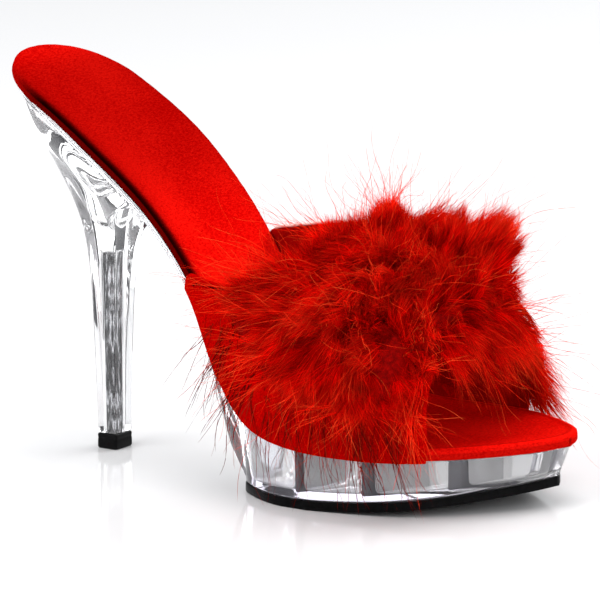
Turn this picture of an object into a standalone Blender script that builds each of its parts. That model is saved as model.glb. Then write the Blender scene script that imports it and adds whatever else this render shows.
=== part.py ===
"""Marabou slipper: a backless platform mule on a clear 5 inch heel. Right shoe.

Working frame, millimetres: X runs from the rear of the footbed to the toe, +Y is the
inner (medial) side, Z = 0 is the floor. Everything is scaled to metres and moved so that
the origin is at the centre of the bounding box's floor face.
"""

import math

import bmesh
import bpy
import numpy as np
from mathutils import Vector

for old in list(bpy.data.objects):
    bpy.data.objects.remove(old, do_unlink=True)

# ---------------------------------------------------------------- sizes, millimetres
MM = 0.001
LENGTH = 240.0          # footbed, measured along its curve
BALL_S = 180.0          # station of the ball
BALL_Z = 23.7           # height of the footbed's top there
HEEL_ROUND = 27.0       # length of the rounded heel end
TOE_ROUND = 46.0        # length of the rounded toe end
HEEL_POWER = 2.2
TOE_POWER = 1.82

INSOLE_T = 4.0          # padded footbed
GAP = 0.3               # between neighbouring pieces
PLATE_T = 2.4           # shank and heel seat plate
PLATE_INSET = 1.0       # plate's edge inside the footbed's edge
SEAT_INSET = 2.6        # the same at the rear of the heel seat
TOP_INSET = 2.0         # platform's top edge inside the footbed's edge
SOLE_INSET = 4.0        # platform's bottom edge inside the footbed's edge
OUTSOLE_T = 3.0
SOLE_REAR_X = 101.0     # rear edge of the tread
WALL_TOP_S = 123.0      # station where the shank turns down into the rear wall
WALL_END_S = 150.0      # station whose lower point is the rear wall's foot
ROCKER_X = 131.0        # the tread is flat behind this
TOE_TIP_X = 199.0
ROCKER_RISE = 7.3       # toe spring at the tip
ROCKER_POWER = 1.7

POCKET_WALL = 2.6
POCKET_FLOOR = 2.7
RIB = 2.0

LIFT_T = 5.0
LIFT_FRONT_X = 35.3
LIFT_LENGTH = 7.8
LIFT_HALF_W = 4.6
HEEL_FRONT_S = 73.0     # the heel's breast meets the plate here, at the edges
PIN_R = 2.35
PIN_X = 31.2
PIN_TOP = 66.0

UPPER_T = 2.0           # satin, backing and lining together
NEAR_SPAN = (99.0, 212.5)   # outer edge of the band, stations rear and front
FAR_SPAN = (95.7, 206.0)    # inner edge of the band
THROAT_DIP = 10.0           # the throat is cut this much lower on the outer side

# ---------------------------------------------------------------- form tables
# station along the footbed, slope in degrees, down towards the toe
SLOPE = [(0, 23.7), (30, 29.8), (60, 39.6), (90, 50.6), (115, 54.2), (135, 47.4),
         (155, 29.9), (175, 8.8), (200, 0.4), (225, -1.4), (240, -3.1)]
# station, half width before the ends are rounded
HALF_W = [(0, 26.1), (25, 26.6), (50, 27.4), (80, 25.2), (110, 23.9), (140, 28.8),
          (165, 36.8), (185, 37.5), (205, 36.8), (225, 32.7), (240, 28.3)]
# station, sideways shift of the centre line, + towards the inner side
CENTRE = [(0, 0.0), (60, -0.1), (110, -0.8), (150, -6.4), (185, 0.1), (215, 6.2), (240, 13.3)]
# station, how far the middle of the footbed is dished below its edges
DISH = [(0, 0.3), (20, 1.6), (60, 1.5), (110, 0.6), (160, 0.5), (200, 1.0), (240, 0.3)]
# X, share of the forefoot outline kept by the tread behind the ball
SOLE_REAR = [(101.0, 0.74), (102.2, 0.81), (104.5, 0.86), (108.5, 0.89), (116.0, 0.92),
             (126.0, 0.965), (133.0, 1.0)]
# share of the heel's height, rear flare, breast flare
FLARE = [(0.00, 0.000, 0.000), (0.11, 0.019, 0.010), (0.28, 0.048, 0.015), (0.43, 0.080, 0.025),
         (0.51, 0.115, 0.035), (0.59, 0.175, 0.045), (0.66, 0.280, 0.060), (0.73, 0.425, 0.085),
         (0.79, 0.570, 0.120), (0.86, 0.735, 0.210), (0.92, 0.860, 0.400), (0.965, 0.945, 0.660),
         (1.00, 1.000, 1.000)]
# share of the way down the rear wall, share of its narrowing
WALL_NARROW = [(0.0, 0.0), (0.15, 0.12), (0.40, 0.52), (0.70, 0.62), (1.0, 1.0)]
# share of the band from throat to toe, crest X, crest Y, crest Z, section squareness
CREST = [(0.00, 135.0, -1.0, 84.5, 2.05), (0.25, 143.0, -2.0, 76.5, 2.2), (0.50, 152.0, -1.0, 67.5, 2.5),
         (0.75, 161.0, 1.0, 59.5, 2.8), (1.00, 169.5, 3.0, 53.5, 3.1)]
# share of the band, thickness of the fur at the crest
FUR_ALONG = [(0.06, 5.0), (0.14, 12.0), (0.30, 20.0), (0.48, 26.0), (0.64, 29.5), (0.78, 28.0),
             (0.89, 21.0), (0.95, 14.0), (0.985, 6.0)]
# share of the way round from the outer edge to the inner edge, share of that thickness
FUR_ROUND = [(0.06, 0.22), (0.12, 0.42), (0.20, 0.60), (0.32, 0.80), (0.50, 1.00), (0.66, 0.82),
             (0.80, 0.62), (0.88, 0.42), (0.94, 0.22)]


# ---------------------------------------------------------------- curves through tables
def natural_spline(rows):
    """Cubic spline with free ends through the first two columns."""
    x = np.array([r[0] for r in rows], float)
    y = np.array([r[1] for r in rows], float)
    n = len(x)
    h = np.diff(x)
    m = np.zeros((n, n))
    rhs = np.zeros(n)
    m[0, 0] = m[-1, -1] = 1.0
    for i in range(1, n - 1):
        m[i, i - 1], m[i, i], m[i, i + 1] = h[i - 1], 2 * (h[i - 1] + h[i]), h[i]
        rhs[i] = 6 * ((y[i + 1] - y[i]) / h[i] - (y[i] - y[i - 1]) / h[i - 1])
    k = np.linalg.solve(m, rhs)

    def at(q):
        q = np.asarray(q, float)
        i = np.clip(np.searchsorted(x, q) - 1, 0, n - 2)
        a = (x[i + 1] - q) / h[i]
        b = (q - x[i]) / h[i]
        return a * y[i] + b * y[i + 1] + ((a ** 3 - a) * k[i] + (b ** 3 - b) * k[i + 1]) * h[i] ** 2 / 6

    return at


def monotone(rows, column=1):
    """Smooth curve without overshoot through the first and the given column."""
    x = np.array([r[0] for r in rows], float)
    y = np.array([r[column] for r in rows], float)
    h = np.diff(x)
    d = np.diff(y) / h
    m = np.zeros(len(x))
    for i in range(1, len(x) - 1):
        if d[i - 1] * d[i] > 0:
            w1, w2 = 2 * h[i] + h[i - 1], h[i] + 2 * h[i - 1]
            m[i] = (w1 + w2) / (w1 / d[i - 1] + w2 / d[i])
    m[0], m[-1] = d[0], d[-1]

    def at(q):
        q = np.clip(np.asarray(q, float), x[0], x[-1])
        i = np.clip(np.searchsorted(x, q) - 1, 0, len(x) - 2)
        t = (q - x[i]) / h[i]
        return ((1 + 2 * t) * (1 - t) ** 2 * y[i] + t * (1 - t) ** 2 * h[i] * m[i]
                + t * t * (3 - 2 * t) * y[i + 1] + t * t * (t - 1) * h[i] * m[i + 1])

    return at


def smooth(t):
    t = min(1.0, max(0.0, t))
    return t * t * (3 - 2 * t)


slope_at = natural_spline([(s, math.radians(a)) for s, a in SLOPE])
width_at = monotone(HALF_W)
shift_at = natural_spline(CENTRE)
dish_at = monotone(DISH)
sole_share = monotone(SOLE_REAR)
rear_flare = monotone(FLARE, 1)
breast_flare = monotone(FLARE, 2)
wall_narrow = monotone(WALL_NARROW)

STEP = 0.1
S_FINE = np.arange(0.0, LENGTH + STEP / 2, STEP)
A_FINE = slope_at(S_FINE)
A_MID = slope_at(S_FINE[:-1] + STEP / 2)
X_FINE = np.concatenate([[0.0], np.cumsum(np.cos(A_MID) * STEP)])
Z_FINE = -np.concatenate([[0.0], np.cumsum(np.sin(A_MID) * STEP)])
Z_FINE += BALL_Z - np.interp(BALL_S, S_FINE, Z_FINE)


def bed(s, depth=0.0):
    """Centre line of the footbed at station s, moved down square to it by depth: x, z."""
    a = np.interp(s, S_FINE, A_FINE)
    return (float(np.interp(s, S_FINE, X_FINE) - depth * np.sin(a)),
            float(np.interp(s, S_FINE, Z_FINE) - depth * np.cos(a)))


def half_width(s):
    """Half width of the footbed, rounded at both ends."""
    w = float(width_at(s))
    if s < HEEL_ROUND:
        w *= math.sqrt(max(0.0, 1 - (1 - s / HEEL_ROUND) ** HEEL_POWER))
    if s > LENGTH - TOE_ROUND:
        w *= math.sqrt(max(0.0, 1 - ((s - LENGTH + TOE_ROUND) / TOE_ROUND) ** TOE_POWER))
    return w


def station_of(x, z):
    """Station under a point, and the point's height square to the footbed."""
    d = (X_FINE - x) ** 2 + (Z_FINE - z) ** 2
    i = int(np.argmin(d))
    a = A_FINE[i]
    return float(S_FINE[i]), float((x - X_FINE[i]) * math.sin(a) + (z - Z_FINE[i]) * math.cos(a))


def station_at_x(x):
    return float(np.interp(x, X_FINE, S_FINE))


def rocker(x):
    """Height of the tread above the floor."""
    t = max(0.0, (x - ROCKER_X) / (TOE_TIP_X - ROCKER_X))
    return ROCKER_RISE * t ** ROCKER_POWER


def sole_edges(x, inset=SOLE_INSET):
    """Outer and inner edge of the tread at X, for a given inset from the footbed's edge."""
    tip = TOE_TIP_X - inset
    s = station_at_x(min(x, tip) + inset * smooth((x - 150.0) / 40.0))
    c, w = float(shift_at(s)), half_width(s)
    share = float(sole_share(x))
    w_in = max(0.6, w - inset)
    return c - w_in * share, c + w_in * share


# ---------------------------------------------------------------- mesh helpers
def material(name, colour, rough, metal=0.0, clear=0.0, ior=1.49):
    m = bpy.data.materials.new(name)
    m.use_nodes = True
    b = m.node_tree.nodes["Principled BSDF"]
    b.inputs["Base Color"].default_value = (*colour, 1.0)
    b.inputs["Roughness"].default_value = rough
    b.inputs["Metallic"].default_value = metal
    b.inputs["Transmission Weight"].default_value = clear
    b.inputs["IOR"].default_value = ior
    m.diffuse_color = (*colour, 1.0)
    return m


ROOT = bpy.data.objects.new("slipper_frame", None)
bpy.context.scene.collection.objects.link(ROOT)
PIECES = []


def add_object(name, verts, faces, mat, helper=False, sharp=35.0):
    mesh = bpy.data.meshes.new(name)
    bm = bmesh.new()
    vs = [bm.verts.new(Vector(v) * MM) for v in verts]
    for f in faces:
        bm.faces.new([vs[i] for i in f])
    bmesh.ops.recalc_face_normals(bm, faces=bm.faces)
    bm.to_mesh(mesh)
    bm.free()
    mesh.shade_smooth()
    mesh.set_sharp_from_angle(angle=math.radians(sharp))
    ob = bpy.data.objects.new(name, mesh)
    bpy.context.scene.collection.objects.link(ob)
    ob.parent = ROOT
    if mat:
        mesh.materials.append(mat)
    if helper:
        ob.hide_render = True
        ob.display_type = "WIRE"
    else:
        PIECES.append(ob)
    return ob


def loft(name, rings, mat, helper=False, sharp=35.0):
    """Closed body through equal rings of points, with a flat face on each end."""
    n = len(rings[0])
    verts = [p for ring in rings for p in ring]
    faces = []
    for k in range(len(rings) - 1):
        a, b = k * n, (k + 1) * n
        for i in range(n):
            j = (i + 1) % n
            faces.append((a + i, a + j, b + j, b + i))
    faces.append(tuple(range(n)))
    faces.append(tuple(reversed(range(len(verts) - n, len(verts)))))
    return add_object(name, verts, faces, mat, helper, sharp)


def cut(ob, cutter):
    m = ob.modifiers.new("cut_" + cutter.name, "BOOLEAN")
    m.operation = "DIFFERENCE"
    m.solver = "EXACT"
    m.object = cutter


def end_stations(last):
    """Stations close together where the outline turns."""
    heel = [0.12, 0.8, 2.4, 5.0, 8.6, 13.0, 18.5, 26.0]
    body = [36.0, 48.0, 60.0, 72.0, 84.0, 95.0, 105.0, 114.0]
    if last == "shank":
        return heel + body
    ball = [123.0, 131.0, 139.0, 147.0, 155.0, 163.0, 172.0, 183.0]
    toe = [194.0, 202.0, 209.5, 216.5, 222.5, 227.5, 231.7, 235.0, 237.4, 239.0, 239.85]
    return heel + body + ball + toe


# ---------------------------------------------------------------- materials
SATIN = material("red_satin", (0.60, 0.004, 0.004), 0.38)
BAND = material("red_satin_band", (0.62, 0.005, 0.004), 0.36)
FUR = material("red_marabou", (0.72, 0.012, 0.006), 0.85)
CLEAR = material("clear_plastic", (1.0, 1.0, 1.0), 0.02, clear=1.0)
HEEL_CLEAR = material("clear_heel_plastic", (1.0, 1.0, 1.0), 0.02, clear=1.0)
RUBBER = material("black_rubber", (0.012, 0.012, 0.013), 0.6)
TIP = material("black_tip", (0.012, 0.012, 0.013), 0.5)
STEEL = material("steel", (0.55, 0.55, 0.57), 0.3, metal=1.0)


# ---------------------------------------------------------------- insole
def insole_ring(s):
    w, c, dish = half_width(s), float(shift_at(s)), float(dish_at(s))
    e = min(1.3, 0.35 * w)
    ring = []
    for t in (-1, -0.72, -0.36, 0, 0.36, 0.72, 1):
        ring.append((t * (w - e), dish * (1 - t * t) * min(1.0, w / 15.0)))
    side = [(w - 0.3 * e, 0.45), (w, 1.4), (w, 3.0), (w - 0.25 * e, 3.7), (w - 0.8 * e, INSOLE_T)]
    ring += side
    ring.append((0.0, INSOLE_T))
    ring += [(-y, d) for y, d in reversed(side)]
    out = []
    for y, d in ring:
        x, z = bed(s, d)
        out.append((x, c + y, z))
    return out


insole = loft("insole", [insole_ring(s) for s in end_stations("toe")], SATIN, sharp=50.0)

# ---------------------------------------------------------------- platform with its shank
PLATE_TOP = INSOLE_T + GAP
PLATE_BOTTOM = PLATE_TOP + PLATE_T
SOLE_TOP = OUTSOLE_T + GAP
WALL_HEAD = bed(WALL_TOP_S, PLATE_BOTTOM)


def platform_ring(s):
    """Ring of 14 points: over the top from the outer to the inner edge, and back below."""
    w, c = half_width(s), float(shift_at(s))
    grow = smooth((s - 112.0) / 30.0)
    inset = PLATE_INSET + (TOP_INSET - PLATE_INSET) * grow
    inset += (SEAT_INSET - PLATE_INSET) * (1 - smooth((s - 8.0) / 40.0))
    inset = min(inset, 0.45 * w)
    xt, zt = bed(s, PLATE_TOP)
    top = [(xt, c + t * (w - inset), zt) for t in (-1, -0.5, 0, 0.5, 1)]
    if s <= WALL_TOP_S:
        xb, zb = bed(s, PLATE_BOTTOM)
        e = min(0.9, 0.3 * w)
        xm, zm = bed(s, PLATE_BOTTOM - 0.7)
        low = [(xm, c + w - inset, zm), (xb, c + w - inset - e, zb), (xb, c + 0.5 * (w - inset), zb),
               (xb, c, zb), (xb, c - 0.5 * (w - inset), zb), (xb, c - w + inset + e, zb),
               (xm, c - w + inset, zm)]
        return top + low
    if s < WALL_END_S:
        q = (s - WALL_TOP_S) / (WALL_END_S - WALL_TOP_S)
        xb = WALL_HEAD[0] + (SOLE_REAR_X - WALL_HEAD[0]) * q
        zb = WALL_HEAD[1] + (SOLE_TOP - WALL_HEAD[1]) * q
        lo0, hi0 = c - w + inset, c + w - inset
        lo1, hi1 = sole_edges(SOLE_REAR_X)
        k = float(wall_narrow(q))
        lo, hi = lo0 + (lo1 - lo0) * k, hi0 + (hi1 - hi0) * k
    else:
        xe = bed(WALL_END_S, PLATE_TOP)[0]
        tip_t = bed(LENGTH, PLATE_TOP)[0] - TOP_INSET
        q = (xt - xe) / (tip_t - xe)
        xb = SOLE_REAR_X + (TOE_TIP_X - SOLE_INSET - SOLE_REAR_X) * min(1.0, q)
        zb = SOLE_TOP + rocker(xb)
        lo, hi = sole_edges(xb)
    mid = 0.5 * (lo + hi)
    r = 0.5 * (hi - lo)
    # the side swells a little between its two edges
    tl, tr = top[0], top[-1]
    sm = 0.55
    ml = (tl[0] * (1 - sm) + xb * sm, tl[1] * (1 - sm) + lo * sm - 0.35, tl[2] * (1 - sm) + zb * sm)
    mr = (tr[0] * (1 - sm) + xb * sm, tr[1] * (1 - sm) + hi * sm + 0.35, tr[2] * (1 - sm) + zb * sm)
    low = [mr, (xb, hi, zb), (xb, mid + 0.5 * r, zb), (xb, mid, zb), (xb, mid - 0.5 * r, zb), (xb, lo, zb), ml]
    return top + low


plat_s = [max(s, 1.6 + 0.6 * s) for s in end_stations("shank")] + [WALL_TOP_S, 127.5, 132.0, 136.5, 141.0, 145.5, 149.0, WALL_END_S + 0.1,
                                  152.0, 154.5, 158.0, 163.0, 169.0, 176.0, 184.0, 192.0, 200.0, 207.0,
                                  213.5, 219.5, 224.5, 228.7, 232.0, 234.6, 236.6, 238.0]
platform = loft("platform", [platform_ring(s) for s in plat_s], CLEAR)


def rounded_outline(corners, radius, steps=3):
    """Plan outline with its corners rounded by short arcs. Corners are (x, y)."""
    out = []
    n = len(corners)
    for i in range(n):
        p = Vector(corners[i])
        a = (Vector(corners[i - 1]) - p)
        b = (Vector(corners[(i + 1) % n]) - p)
        ra = min(radius, 0.45 * a.length)
        rb = min(radius, 0.45 * b.length)
        p0, p1 = p + a.normalized() * ra, p + b.normalized() * rb
        for k in range(steps + 1):
            t = k / steps
            q = p0 * (1 - t) ** 2 + p * 2 * t * (1 - t) + p1 * t * t
            out.append((q.x, q.y))
    return out


# pocket, rear x at the floor, rear x at the top, front x at the floor, front x at the top
POCKETS = [("a", 108.3, 107.7, 127.6, 127.6), ("b", 130.2, 130.2, 150.0, 150.0),
           ("c", 153.4, 153.4, 173.2, 173.2), ("d", 176.8, 176.8, 189.0, 190.5)]
RIB_Y = 0.5     # middle rib's centre, towards the inner side, follows the foot


def rib_centre(x):
    lo, hi = sole_edges(x)
    return 0.5 * (lo + hi) + RIB_Y


def pocket_solid(tag, side, x0b, x0t, x1b, x1t):
    def plan(x0, x1, wall):
        pts_edge = []
        for k in range(4):
            x = x0 + (x1 - x0) * k / 3.0
            lo, hi = sole_edges(x)
            edge = (lo + wall) if side < 0 else (hi - wall)
            pts_edge.append((x, edge))
        xa, xb = x0, x1
        centre = [(xb, rib_centre(xb) + side * RIB / 2), (xa, rib_centre(xa) + side * RIB / 2)]
        return rounded_outline(pts_edge + centre, 3.4)

    low = plan(x0b, x1b, POCKET_WALL)
    high = plan(x0t, x1t, POCKET_WALL - 1.0)
    bottom = [(x, y, SOLE_TOP + POCKET_FLOOR + rocker(x)) for x, y in low]
    top = []
    for x, y in high:
        s = station_at_x(x)
        top.append((x, y, bed(s, 0.0)[1] + 2.0))
    rings = [bottom, top]
    return loft("pocket_%s_%s" % (tag, "outer" if side < 0 else "inner"), rings, None, helper=True)


for tag, x0b, x0t, x1b, x1t in POCKETS:
    for side in (-1, 1):
        cut(platform, pocket_solid(tag, side, x0b, x0t, x1b, x1t))

# ---------------------------------------------------------------- outsole
def outsole_ring(x):
    lo, hi = sole_edges(x, SOLE_INSET - 0.2)
    mid, r = 0.5 * (lo + hi), 0.5 * (hi - lo)
    z = rocker(x)
    e = min(0.4, 0.3 * r)
    return [(x, lo, z + OUTSOLE_T), (x, mid, z + OUTSOLE_T), (x, hi, z + OUTSOLE_T), (x, hi, z + e),
            (x, hi - e, z), (x, mid, z), (x, lo + e, z), (x, lo, z + e)]


out_x = [SOLE_REAR_X - 0.2, 102.2, 104.5, 108.5, 114.0, 121.0, 128.0, 136.0, 144.0, 152.0, 160.0, 167.0,
         173.0, 178.5, 183.0, 186.7, 189.8, 192.2, 193.8, TOE_TIP_X - SOLE_INSET + 0.0]
outsole = loft("outsole", [outsole_ring(x) for x in out_x], RUBBER, sharp=40.0)

# ---------------------------------------------------------------- heel
HEEL_TOP = PLATE_BOTTOM + GAP
HEEL_N = 16     # points on one half of the ring, from the rear to the breast's middle


def heel_seat():
    """The heel's top outline, outer side first, with (point, share of breast)."""
    side = []
    stations = [3.6, 4.6, 6.8, 10.2, 14.8, 20.5, 28.0, 38.0, 50.0, 62.0, HEEL_FRONT_S]
    for s in stations:
        w = half_width(max(0.4, s - 2.6)) - PLATE_INSET - 0.5 - 2.2 * (1 - smooth((s - 10.0) / 40.0))
        side.append((s, max(1.2, w), smooth((s - 34.0) / 39.0)))
    front = []
    w_front = side[-1][1]
    for t in (0.8, 0.5, 0.0):
        front.append((HEEL_FRONT_S - 6.0 * (1 - t * t), w_front * t, 1.0))
    half = side + front
    out = []
    for s, w, share in half:
        x, z = bed(s, HEEL_TOP)
        out.append(((x, float(shift_at(s)) - w, z), share))
    for s, w, share in reversed(half[:-1]):
        x, z = bed(s, HEEL_TOP)
        out.append(((x, float(shift_at(s)) + w, z), share))
    return out


def heel_foot(n_half):
    """The heel's bottom outline: a rectangle with small corners and a slightly round rear."""
    x1, x0 = LIFT_FRONT_X - 0.15, LIFT_FRONT_X - LIFT_LENGTH + 0.15
    h = LIFT_HALF_W - 0.15
    pts = []
    rear = [(x0, 0.25 * h), (x0, 0.5 * h), (x0, 0.72 * h), (x0 + 0.15, 0.88 * h), (x0 + 0.5, 0.97 * h),
            (x0 + 1.1, h), (x0 + 2.1, h), (x0 + 3.3, h), (x0 + 4.6, h), (x1 - 1.2, h), (x1 - 0.25, h - 0.2)]
    front = [(x1, 0.8 * h), (x1, 0.45 * h), (x1, 0.0)]
    half = rear + front
    for x, y in half:
        pts.append((x, -y))
    for x, y in reversed(half[:-1]):
        pts.append((x, y))
    return pts


seat = heel_seat()
foot = heel_foot(HEEL_N)
HEEL_Z0 = LIFT_T + GAP
rings = []
for v, _, _ in FLARE[::-1]:
    ring = []
    for (top, share), (fx, fy) in zip(seat, foot):
        fr, ff = float(rear_flare(v)), float(breast_flare(v))
        # the flare follows the height above the floor, so the tall rear and the low breast agree
        z = HEEL_Z0 + (top[2] - HEEL_Z0) * v
        f_x = fr * (1 - share) + ff * share
        v_side = (z - HEEL_Z0) / (121.0 - HEEL_Z0)
        f_side = float(rear_flare(min(1.0, v_side)))
        f_y = f_side * (1 - smooth((v - 0.80) / 0.20)) + smooth((v - 0.80) / 0.20) * 1.0
        f_y = max(f_side, f_y) if v > 0.8 else f_side
        ring.append((fx + (top[0] - fx) * f_x, fy + (top[1] - fy) * f_y, z))
    rings.append(ring)
heel = loft("heel", rings, HEEL_CLEAR, sharp=38.0)


def turned(name, profile, centre, segments, helper):
    """Body turned about an upright axis. Profile rows are (radius, z), bottom first."""
    rings = []
    for r, z in profile:
        rings.append([(centre[0] + r * math.cos(2 * math.pi * k / segments),
                       centre[1] + r * math.sin(2 * math.pi * k / segments), z) for k in range(segments)])
    return rings


bore = loft("heel_bore", turned("heel_bore", [(PIN_R + GAP, HEEL_Z0 - 2.0), (PIN_R + GAP, PIN_TOP + 0.5)],
                                (PIN_X, 0.0), 20, True), None, helper=True)
cut(heel, bore)
CUP = [(4.6, 74.0), (5.6, 77.0), (6.6, 86.0), (8.2, 97.0), (10.5, 125.0)]    # radius, height
cup = loft("heel_cup", turned("heel_cup", CUP, (31.5, 0.0), 24, True), None, helper=True)
cut(heel, cup)

pin = loft("heel_pin", turned("heel_pin", [(PIN_R - 0.4, LIFT_T + 0.45), (PIN_R, LIFT_T + 0.85), (PIN_R, PIN_TOP - 0.8),
                                           (PIN_R - 0.6, PIN_TOP)], (PIN_X, 0.0), 20, False), STEEL)

# ---------------------------------------------------------------- top lift
lift_outline = rounded_outline([(LIFT_FRONT_X, -LIFT_HALF_W), (LIFT_FRONT_X, LIFT_HALF_W),
                                (LIFT_FRONT_X - LIFT_LENGTH, LIFT_HALF_W),
                                (LIFT_FRONT_X - LIFT_LENGTH, -LIFT_HALF_W)], 0.7)
lift = loft("top_lift", [[(x, y, z) for x, y in lift_outline] for z in (0.0, LIFT_T)], TIP)


# ---------------------------------------------------------------- band
def band_point(v, u):
    """Middle surface of the band. v runs from the throat to the toe, u round from the outer edge."""
    sn = NEAR_SPAN[0] + (NEAR_SPAN[1] - NEAR_SPAN[0]) * v
    sf = FAR_SPAN[0] + (FAR_SPAN[1] - FAR_SPAN[0]) * v
    low = INSOLE_T + 0.1
    xn, zn = bed(sn, low)
    xf, zf = bed(sf, low)
    out = GAP + 0.2 + UPPER_T / 2
    near = np.array([xn, float(shift_at(sn)) - half_width(sn) - out, zn])
    far = np.array([xf, float(shift_at(sf)) + half_width(sf) + out, zf])
    crest = np.array([float(monotone(CREST, k)(v)) for k in (1, 2, 3)])
    n = float(monotone(CREST, 4)(v))
    th = math.pi * u
    ca, sa = math.cos(th), math.sin(th)
    cx = math.copysign(abs(ca) ** (2.0 / n), ca)
    sx = abs(sa) ** (2.0 / n)
    mid = 0.5 * (near + far)
    p = mid + (near - mid) * cx + (crest - mid) * sx
    # the outer side of the throat is cut lower
    if u < 0.5:
        p[2] -= THROAT_DIP * math.sin(math.pi * min(1.0, u / 0.32)) * (1 - v) ** 4
    # close to the footbed the band follows its edge
    s, h = station_of(p[0], p[2])
    hug = 1 - smooth((h - 1.0) / 13.0)
    if hug > 0 and abs(cx) > 0.3:
        edge = float(shift_at(s)) + (half_width(s) + out) * (-1 if cx > 0 else 1)
        p[1] = p[1] * (1 - hug) + edge * hug
    return p


BAND_V = [0.0, 0.04, 0.09, 0.15, 0.22, 0.29, 0.36, 0.43, 0.50, 0.57, 0.64, 0.71, 0.78, 0.85, 0.91, 0.96, 1.0]
BAND_U = [0.0, 0.018, 0.04, 0.068, 0.10, 0.14, 0.185, 0.235, 0.29, 0.35, 0.42, 0.50,
          0.58, 0.65, 0.71, 0.765, 0.815, 0.86, 0.90, 0.932, 0.96, 0.982, 1.0]


def band_grid(vs, us):
    g = np.array([[band_point(v, u) for u in us] for v in vs])
    return g


def band_normals(vs, us):
    nrm = np.zeros((len(vs), len(us), 3))
    e = 0.004
    for i, v in enumerate(vs):
        for j, u in enumerate(us):
            dv = band_point(min(1, v + e), u) - band_point(max(0, v - e), u)
            du = band_point(v, min(1, u + e)) - band_point(v, max(0, u - e))
            n = np.cross(du, dv)
            nrm[i, j] = n / np.linalg.norm(n)
    if nrm[len(vs) // 2, len(us) // 2, 2] < 0:
        nrm = -nrm
    return nrm


def shell(name, inner, outer, mat, sharp=60.0):
    """Closed body between two equal grids of points."""
    r, c = inner.shape[:2]
    verts = [tuple(p) for p in outer.reshape(-1, 3)] + [tuple(p) for p in inner.reshape(-1, 3)]
    off = r * c
    faces = []
    for i in range(r - 1):
        for j in range(c - 1):
            a, b, d, e = i * c + j, i * c + j + 1, (i + 1) * c + j + 1, (i + 1) * c + j
            faces.append((a, b, d, e))
            faces.append((off + e, off + d, off + b, off + a))
    rim = ([i * c for i in range(r)], [i * c + c - 1 for i in range(r)])
    for line, flip in ((rim[0], 1), (rim[1], 0), (list(range(c)), 0), (list(range((r - 1) * c, r * c)), 1)):
        for a, b in zip(line[:-1], line[1:]):
            f = (a, b, off + b, off + a)
            faces.append(f if flip else f[::-1])
    return add_object(name, verts, faces, mat, sharp=sharp)


mid_grid = band_grid(BAND_V, BAND_U)
mid_nrm = band_normals(BAND_V, BAND_U)
upper = shell("upper", mid_grid - mid_nrm * UPPER_T / 2, mid_grid + mid_nrm * UPPER_T / 2, BAND)

# ---------------------------------------------------------------- fur over the band
fur_along = monotone(FUR_ALONG)
fur_round = monotone(FUR_ROUND)
FUR_V = [r[0] for r in FUR_ALONG]
FUR_V = [0.06, 0.11, 0.18, 0.26, 0.35, 0.44, 0.53, 0.62, 0.71, 0.79, 0.86, 0.92, 0.96, 0.985]
FUR_U = [0.06, 0.09, 0.125, 0.165, 0.21, 0.26, 0.32, 0.38, 0.44, 0.50, 0.56, 0.62, 0.68, 0.74, 0.79, 0.835,
         0.875, 0.91, 0.94]
fur_mid = band_grid(FUR_V, FUR_U)
fur_nrm = band_normals(FUR_V, FUR_U)
thick = np.array([[float(fur_along(v)) * float(fur_round(u)) for u in FUR_U] for v in FUR_V])
lean = np.zeros_like(fur_nrm)
for i, v in enumerate(FUR_V):
    for j, u in enumerate(FUR_U):
        # the pile leans forward over the toe opening and hangs down at the sides
        n = fur_nrm[i, j].copy()
        n += np.array([-0.10 * v, 0.0, 0.10 - 0.35 * abs(2 * u - 1) ** 2])
        lean[i, j] = n / np.linalg.norm(n)
fur_in = fur_mid + fur_nrm * (UPPER_T / 2 + GAP + 0.6)
fur_out = fur_in + lean * thick[..., None]
marabou = shell("marabou_trim", fur_in, fur_out, FUR, sharp=80.0)

# ---------------------------------------------------------------- origin at the middle of the floor face
low = np.full(3, 1e9)
high = np.full(3, -1e9)
for ob in PIECES:
    co = np.array([v.co[:] for v in ob.data.vertices])
    low = np.minimum(low, co.min(axis=0))
    high = np.maximum(high, co.max(axis=0))
ROOT.location = (-0.5 * (low[0] + high[0]), -0.5 * (low[1] + high[1]), -low[2])
bpy.context.view_layer.update()
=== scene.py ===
"""Looks of the marabou slipper: satin footbed and band, marabou plumes, clear platform and
heel, steel pin, black outsole and top lift, on a plain pale floor.

The form is worked out in millimetres with X from the rear of the footbed to the toe, +Y to
the inner side and Z up from the floor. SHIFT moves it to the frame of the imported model.
"""

import math

import bmesh
import bpy
import numpy as np
from mathutils import Matrix, Vector


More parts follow.
